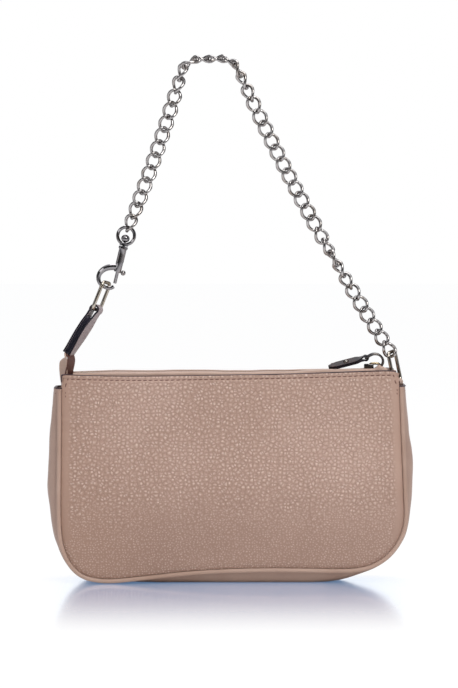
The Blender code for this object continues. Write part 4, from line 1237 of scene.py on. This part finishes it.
def left_base():
    """The base strap: two bowed legs that leave the tab's end and run down into the bag."""
    hinge, fall, _, out = tab_frame()
    if out.x < 0:
        out = -out
    end = hinge + fall * 29.8 * MM
    for name, table, way, yaw, finish in (
        # the far leg takes the brown finish as painted shade on the strap's inner side
        ("base_leg_left", left_leg, -1, -36, beige_finish), ("base_leg_right", right_leg, 1, 30, brown_edge_and_painted_shade_finish)
    ):
        rows = [tuple(end + out * way * 0.5 * MM)] + [(x * MM, 0.0, z * MM) for x, z in table]
        path = [Vector(p) for p in smooth_through(rows, 36)]
        sides = []
        for p in path:
            upper = ease(p.z, 127.5 * MM, end.z)
            turn = radians(yaw * ease(p.z, 112.5 * MM, 121 * MM) * (1 - upper) + 25 * upper)
            sides.append(Vector((sin(turn), cos(turn), 0)))
        leg = strap(name, path, 7.8 * MM, 0.8 * MM, sides)
        finished(leg, [finish, finish], "bag", "smooth_leather", "left_strap_base")


# ---------------------------------------------------------------- bolt snap


lean = radians(13.5)
snap_top = Vector((-62.5 * MM, 0, 195.6 * MM))
snap_down = Vector((-sin(lean), 0, -cos(lean)))
snap_out = Vector((-cos(lean), 0, sin(lean)))


def snap_turned(name, profile, steps):
    """A part turned about the snap's line, from radii and heights in millimetres."""
    return turned(name, [(r * MM, h * MM) for r, h in profile], snap_top, -snap_down, steps)


def oval(wide, tall, middle, turns):
    """Points of a profile round an oval."""
    return [(wide * cos(radians(turn)), middle + tall * sin(radians(turn))) for turn in turns]


def snap_body():
    """The snap's shank with its flange and thumb slot, the ball-ended post and the curved arm."""
    profile = [(0, 6.95), *oval(2.5, 2.25, 4.7, (75, 60, 45, 30, 15, 0, -15, -30, -45, -58))]
    profile += [(0.85, 2.6), (0.85, 0.0), (2.35, 0.0), (2.7, -0.3), (2.7, -1.2), (2.4, -1.5), (2.2, -1.8)]
    profile += [(2.2, -5.0), (2.2, -9.0), (2.2, -14.9), (1.95, -15.4), (1.4, -15.4), (1.4, -3.2), (0, -3.2)]
    body = snap_turned("snap_shank", profile, 32)
    slot = [(-0.85 * MM, 0), (0.85 * MM, 0), (0.85 * MM, 4 * MM), (-0.85 * MM, 4 * MM)]
    cutter = plate("slot_cutter", slot, -19 * MM, -9.6 * MM)
    outwards(moved(cutter, frame_at(snap_top, across_bag, -snap_out, -snap_down)))
    bore = snap_turned("bore_cutter", [(0, -3.25), (1.4, -3.25), (1.4, -18.8), (0, -18.8)], 24)
    hook = [(0.6, 12.6), (4.2, 13.4), (7.6, 15.2), (9.8, 18.4), (9.9, 21.8), (7.9, 24.6), (4.6, 25.8)]
    hook = smooth_through([*hook, (1.6, 25.4), (0.1, 24.1)], 41)
    path = [snap_top + snap_out * out * MM + snap_down * down * MM for out, down in hook]
    radii = [2.0 - 0.9 * ease(i / 40, 0.0, 0.75) for i in range(41)]
    arm = wire("snap_arm", path, 1 * MM, sides=16, radii=radii)
    applied(body, "BOOLEAN", operation="UNION", object=arm, solver="EXACT")
    removed(arm)
    cut_by(body, bore, cutter)
    return finished(smoothed(body, 35), snap_finish, "snap_hook", "snap_metal", "snap_hook")


def snap_bolt():
    """The sprung bolt with its thumb knob."""
    profile = [(0, -9.8), (0.9, -9.8), (1.15, -10.0), (1.15, -11.4), (0.95, -11.6), (0.95, -21.9)]
    rod = snap_turned("bolt_rod", [*profile, (0.75, -22.25), (0, -22.3)], 20)
    profile = [(0, 0), (0.55, 0), (0.55, 2.2), (1.0, 2.3), (1.38, 2.65), (1.52, 3.3), (1.38, 4.0)]
    profile += [(1.0, 4.5), (0.5, 4.75), (0, 4.8)]
    middle = snap_top + snap_down * 15.2 * MM
    knob = turned("bolt_knob", [(r * MM, h * MM) for r, h in profile], middle, -snap_out, 20)
    body = joined("bolt_and_knob", [rod, knob])
    return finished(body, snap_finish, "snap_bolt", "snap_metal", "snap_bolt")


def coil_spring():
    """The spring above the bolt, which shortens as the bolt is drawn."""
    first, last, turns, steps = 3.8 * MM, 9.2 * MM, 5, 16
    path = []
    for k in range(turns * steps + 1):
        turn = 2 * pi * k / steps
        at = snap_top + snap_down * (first + (last - first) * k / (turns * steps))
        path.append(at + 0.9 * MM * (cos(turn) * snap_out + sin(turn) * across_bag))
    coil = wire("coil_spring", path, 0.25 * MM, sides=8)
    finished(coil, spring_finish, "snap_hook", "spring_steel", "bolt_spring")
    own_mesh(coil)


eye_middle = snap_top - snap_down * 6.4 * MM
eye_tall = 5.1 * MM
eye_wire = 1.0 * MM


def swivel_eye():
    """The eye that turns on the post: an oval ring on a bored collar."""
    turns = [2 * pi * k / 40 for k in range(40)]
    path = [eye_middle + snap_out * 4.9 * MM * cos(turn) + snap_down * eye_tall * sin(turn) for turn in turns]
    loop = wire("eye_loop", path, eye_wire, closed=True, sides=16)
    profile = [(1.15, 0.3), (2.3, 0.3), (2.6, 0.6), (2.6, 1.9), (2.25, 2.3), (1.15, 2.3), (1.15, 0.3)]
    body = joined("eye_and_collar", [loop, snap_turned("eye_collar", profile, 28)])
    hole = snap_turned("eye_hole", [(0, -1), (1.15, -1), (1.15, 3.2), (0, 3.2)], 24)
    bowl = [(0, 2.0), *oval(2.6, 2.6, 4.9, range(-60, 61, 20)), (0, 7.5)]
    cut_by(body, hole, snap_turned("eye_bowl", bowl, 24), use_self=True)
    return finished(smoothed(body, 35), snap_finish, "swivel_eye", "snap_metal", "swivel_eye")


# ---------------------------------------------------------------- chain


link_wire = 0.95 * MM
link_half = 3.7 * MM
link_gap = 0.4 * MM
pair_bite = 0.16 * MM
chain_links = 42
link_turns = (
    (1, -45), (4, 0), (10, 0), (14, -90), (18, -90), (22, -180), (31, -180), (34, -270), (38, -360),
    (39, -360), (42, -392),
)


def sagged(start, end, sag, steps):
    run = end - start
    square = Vector((run.z, 0, -run.x)).normalized()
    if square.z > 0:
        square = -square
    found = []
    for i in range(steps + 1):
        share = i / steps
        found.append(start + run * i / steps + square * sag * 4 * share * (1 - share))
    return found


def rounded(points, corner, radius):
    at = points[corner]
    back, ahead = (points[corner - 1] - at).normalized(), (points[corner + 1] - at).normalized()
    half = back.angle(ahead) / 2
    reach = radius / tan(half)
    before = [p for p in points[:corner] if (p - at).length > reach]
    after = [p for p in points[corner + 1 :] if (p - at).length > reach]
    centre = at + (back + ahead).normalized() * radius / sin(half)
    first, last = at + back * reach - centre, at + ahead * reach - centre
    turn = first.rotation_difference(last)
    return before + [centre + Quaternion().slerp(turn, i / 8) @ first for i in range(9)] + after


def route():
    """The strap's middle line, from the eye over both top corners to the right ring."""
    start = eye_middle - snap_down * (eye_tall - eye_wire - 0.2 * MM)
    at, down, _ = right_frame
    end = at + down * (ring_wire + 0.3 * MM)
    left, right = Vector((-26.6 * MM, 0, 304.2 * MM)), Vector((1.4 * MM, 0, 305.2 * MM))
    left_sag, right_sag, corner_radius = 1.6 * MM, 3.9 * MM, 8 * MM
    line = sagged(start, left, left_sag, 24)
    corner = len(line) - 1
    line += [left + (right - left) * i / 4 for i in range(1, 5)]
    second = len(line) - 1
    line += sagged(right, end, right_sag, 40)[1:]
    return rounded(rounded(line, second, corner_radius), corner, corner_radius)


def stepped(line, step):
    found, i = [line[0]], 0
    for _ in range(chain_links):
        while i < len(line) - 1 and (line[i + 1] - found[-1]).length < step:
            i += 1
        if i == len(line) - 1:
            found.append(found[-1] + (line[-1] - line[-2]).normalized() * step)
            continue
        low, high = 0.0, 1.0
        for _ in range(40):
            mid = (low + high) / 2
            inside = (line[i].lerp(line[i + 1], mid) - found[-1]).length < step
            low, high = (mid, high) if inside else (low, mid)
        found.append(line[i].lerp(line[i + 1], high))
    return found


def contacts():
    """The points where link pulls on link, and the pitch between them."""
    line = route()
    length = sum((b - a).length for a, b in zip(line, line[1:]))
    low, high = length / chain_links / 2, length / chain_links
    for _ in range(50):
        step = (low + high) / 2
        last = stepped(line, step)[-1]
        past = (last - line[-1]).dot((line[-1] - line[-2]).normalized()) > 0
        low, high = (low, step) if past else (step, high)
    return stepped(line, low), low


def link_turn(number):
    for (n0, t0), (n1, t1) in zip(link_turns, link_turns[1:]):
        if n0 <= number <= n1:
            return radians(t0 + (t1 - t0) * (number - n0) / (n1 - n0))
    return 0.0


def curb_link(reach):
    """One curb link lying along X: a circle of wire drawn out to an oval and twisted end to end."""
    bpy.ops.curve.primitive_bezier_circle_add(radius=1)
    piece = named("curb_link")
    bpy.ops.object.mode_set(mode="EDIT")
    bpy.ops.curve.select_all(action="SELECT")
    bpy.ops.transform.resize(value=(reach, link_half, 1))
    shut()
    piece.data.dimensions = "3D"
    piece.data.resolution_u = 9
    piece.data.bevel_depth = link_wire
    piece.data.bevel_resolution = 3
    piece = outwards(converted(piece))
    for point in piece.data.vertices:
        point.co.z *= 1.04
    applied(
        piece, "SIMPLE_DEFORM", deform_method="TWIST", deform_axis="X",
        angle=radians(90) * (reach + link_wire) / reach,
    )
    return smoothed(piece, 60)


def chain():
    at, pitch = contacts()
    reach = pitch / 2 + (link_gap - pair_bite) / 4 + link_wire
    shape = curb_link(reach)
    for n in range(chain_links):
        start, end = at[n], at[n + 1]
        along = (end - start).normalized()
        level = along.cross(across_bag)
        turn = link_turn(n + 1)
        flat = cos(turn) * level + sin(turn) * along.cross(level)
        shift = (-pair_bite - link_gap) / 4 * (1 if n % 2 == 0 else -1)
        middle = (start + end) / 2 + along * shift
        piece = copied(shape, f"curb_link_{n + 1:02d}", frame_at(middle, along, flat, along.cross(flat)))
        body = n // 2 + 1
        finished(piece, chain_finish, f"chain_{body:02d}", "chain_metal", f"chain_links_{body:02d}")
    removed(shape)


# ---------------------------------------------------------------- studio


rays = ("Is Camera Ray", "Is Glossy Ray", "Is Transmission Ray")


def floor_finish():
    """White to the camera, with a soft blue-grey reflection before the bag, mirrored over a glowing painted
    blue-grey tint.
    """
    ground = Finish("studio_floor", Roughness=0.45, Specular_IOR_Level=0.3)
    camera_ray, glossy_ray, clear_ray = (ground.node("LightPath", out=ray) for ray in rays)
    x, y, _ = ground.parts(ground.place())
    near = ground.level(y, -0.240, -0.055) * ground.level(y, 0.0, 0.03, 1.0, 0.0)
    near = near * ground.level(x * x, 0.0062, 0.0135, 1.0, 0.0)
    white = ground.node("Emission", None, {"Color": (1, 1, 1, 1), "Strength": 1.06})
    # painted reflection tone: a blue-grey glow under the mirror patch before the bag; it is no lamp
    tint = ground.node("Emission", None, {"Color": (0.10, 0.19, 0.335, 1), "Strength": 1.0})
    metal = {"Base Color": (0.87, 0.80, 0.665), "Metallic": 1.0, "Roughness": 0.13}
    mirror_and_painted_tint = ground.node("AddShader", None, {0: tint, 1: ground.node("BsdfPrincipled", None, metal)})
    shown = ground.node("MixShader", None, {0: near, 1: white, 2: mirror_and_painted_tint})
    plain = Value(ground, ground.shader.outputs[0])
    shown = ground.node("MixShader", None, {0: 0.16, 1: shown, 2: plain})
    flat = ground.stretched((1.0, 1.0, 0.0))
    away = ground.node("VectorMath", {"operation": "LENGTH"}, {0: flat}, 1)
    dimmed = ground.level(away, 0.30, 1.0) * (1.0 - camera_ray)
    colour = ground.mix(dimmed, (0.88, 0.88, 0.89), (0.30, 0.30, 0.31))
    ground.feed(ground.shader.inputs["Base Color"], colour)
    seen = (camera_ray + (glossy_ray + clear_ray) * ground.level(y, 0.10, 0.60)).clamped()
    blend = ground.node("MixShader", None, {0: seen, 1: plain, 2: shown})
    ground.feed(ground.tree.nodes["Material Output"].inputs[0], blend)
    return ground.material


def room_light():
    """A pale room: bright to the camera, and for reflections brighter behind, above and at the sides."""
    world = bpy.data.worlds.new("studio")
    bpy.context.scene.world = world
    world.use_nodes = True
    room = Finish.__new__(Finish)
    room.tree = world.node_tree
    camera_ray, glossy_ray, _ = (room.node("LightPath", out=ray) for ray in rays)
    x, y, z = room.parts(room.node("TexCoord", out="Generated"))
    lit = room.level(y, 0.55, 0.88) + room.level(z, 0.60, 0.92) * 0.9
    lit = lit + room.level(x, 0.80, 0.97) * 0.5 + room.level(x, -0.98, -0.86, 1.0, 0.0) * 0.7
    reflected = glossy_ray * (lit.clamped() * 0.95 + 0.05) + (1.0 - glossy_ray) * 0.62
    background = room.tree.nodes["Background"]
    room.feed(background.inputs[0], room.mix(camera_ray, (0.96, 0.97, 1.0), (1.0, 1.0, 1.0)))
    room.feed(background.inputs[1], camera_ray + (1.0 - camera_ray) * reflected)


def aimed(thing, at, aim):
    """Put a lamp or the camera at a place, looking at another."""
    thing.location = at
    thing.rotation_euler = (Vector(aim) - Vector(at)).to_track_quat("-Z", "Y").to_euler()


def studio():
    """Pale floor, soft lamps, a pale room and the camera."""
    bpy.ops.mesh.primitive_grid_add(x_subdivisions=4, y_subdivisions=4, size=14)
    floor = named("studio_floor")
    floor.location = (0, 0, -0.05 * MM)
    floor.data.materials.append(floor_finish())
    room_light()
    for name, at, aim_height, size, power, tint in (
        ("key_lamp", (0.55, -1.05, 1.25), 0.14, 0.7, 10.0, (1.0, 0.99, 0.97)),
        ("fill_lamp", (-0.9, -1.0, 0.8), 0.12, 0.5, 1.6, (0.98, 0.98, 1.0)),
        ("top_lamp", (0.05, 0.25, 1.35), 0.05, 0.8, 5.5, (1.0, 1.0, 1.0)),
    ):
        bpy.ops.object.light_add(type="AREA")
        lamp = bpy.context.object
        lamp.name = name
        lamp.data.size = size
        lamp.data.energy = power
        lamp.data.color = tint
        aimed(lamp, at, (0, 0, aim_height))
    bpy.ops.object.camera_add()
    camera = bpy.context.object
    camera.name = "photo_view"
    elevation, far_off, frame_height = radians(2.6), 1.7, 0.399
    aim = Vector((-0.9, -15, 139.2)) * MM
    aimed(camera, aim + far_off * Vector((0, -cos(elevation), sin(elevation))), aim)
    camera.data.sensor_fit = "VERTICAL"
    camera.data.sensor_height = 36
    camera.data.lens = camera.data.sensor_height * far_off / frame_height
    camera.data.clip_end = 50
    bpy.context.scene.camera = camera
    bpy.context.scene.view_settings.view_transform = "Standard"


def dress():
    """Every piece of the bag, in its place."""
    for label, side in (("back", -1), ("front", 1)):
        panel_top_stitches(panel_shell(label, side), label, side)
        panel_edge(label, side)
        piping(label, side)
        facing_strip(label, side)
        zip_tape(label, side)
    gusset_shell()
    gusset_top_trim("left", covered[0])
    gusset_top_trim("right", covered[-1])
    lining_pouch()
    tooth_rows()
    zip_ends()
    slider()
    bail()
    pull_leather()
    right_ring_loop()
    wire_ring("right_wire_ring", *right_frame, right_ring_length, "right_ring", "right_ring")
    left_tab()
    left_base()
    wire_ring("left_wire_ring", *left_frame, left_ring_length, "left_ring", "left_ring")
    snap_body()
    snap_bolt()
    coil_spring()
    swivel_eye()
    chain()


studio()
dress()
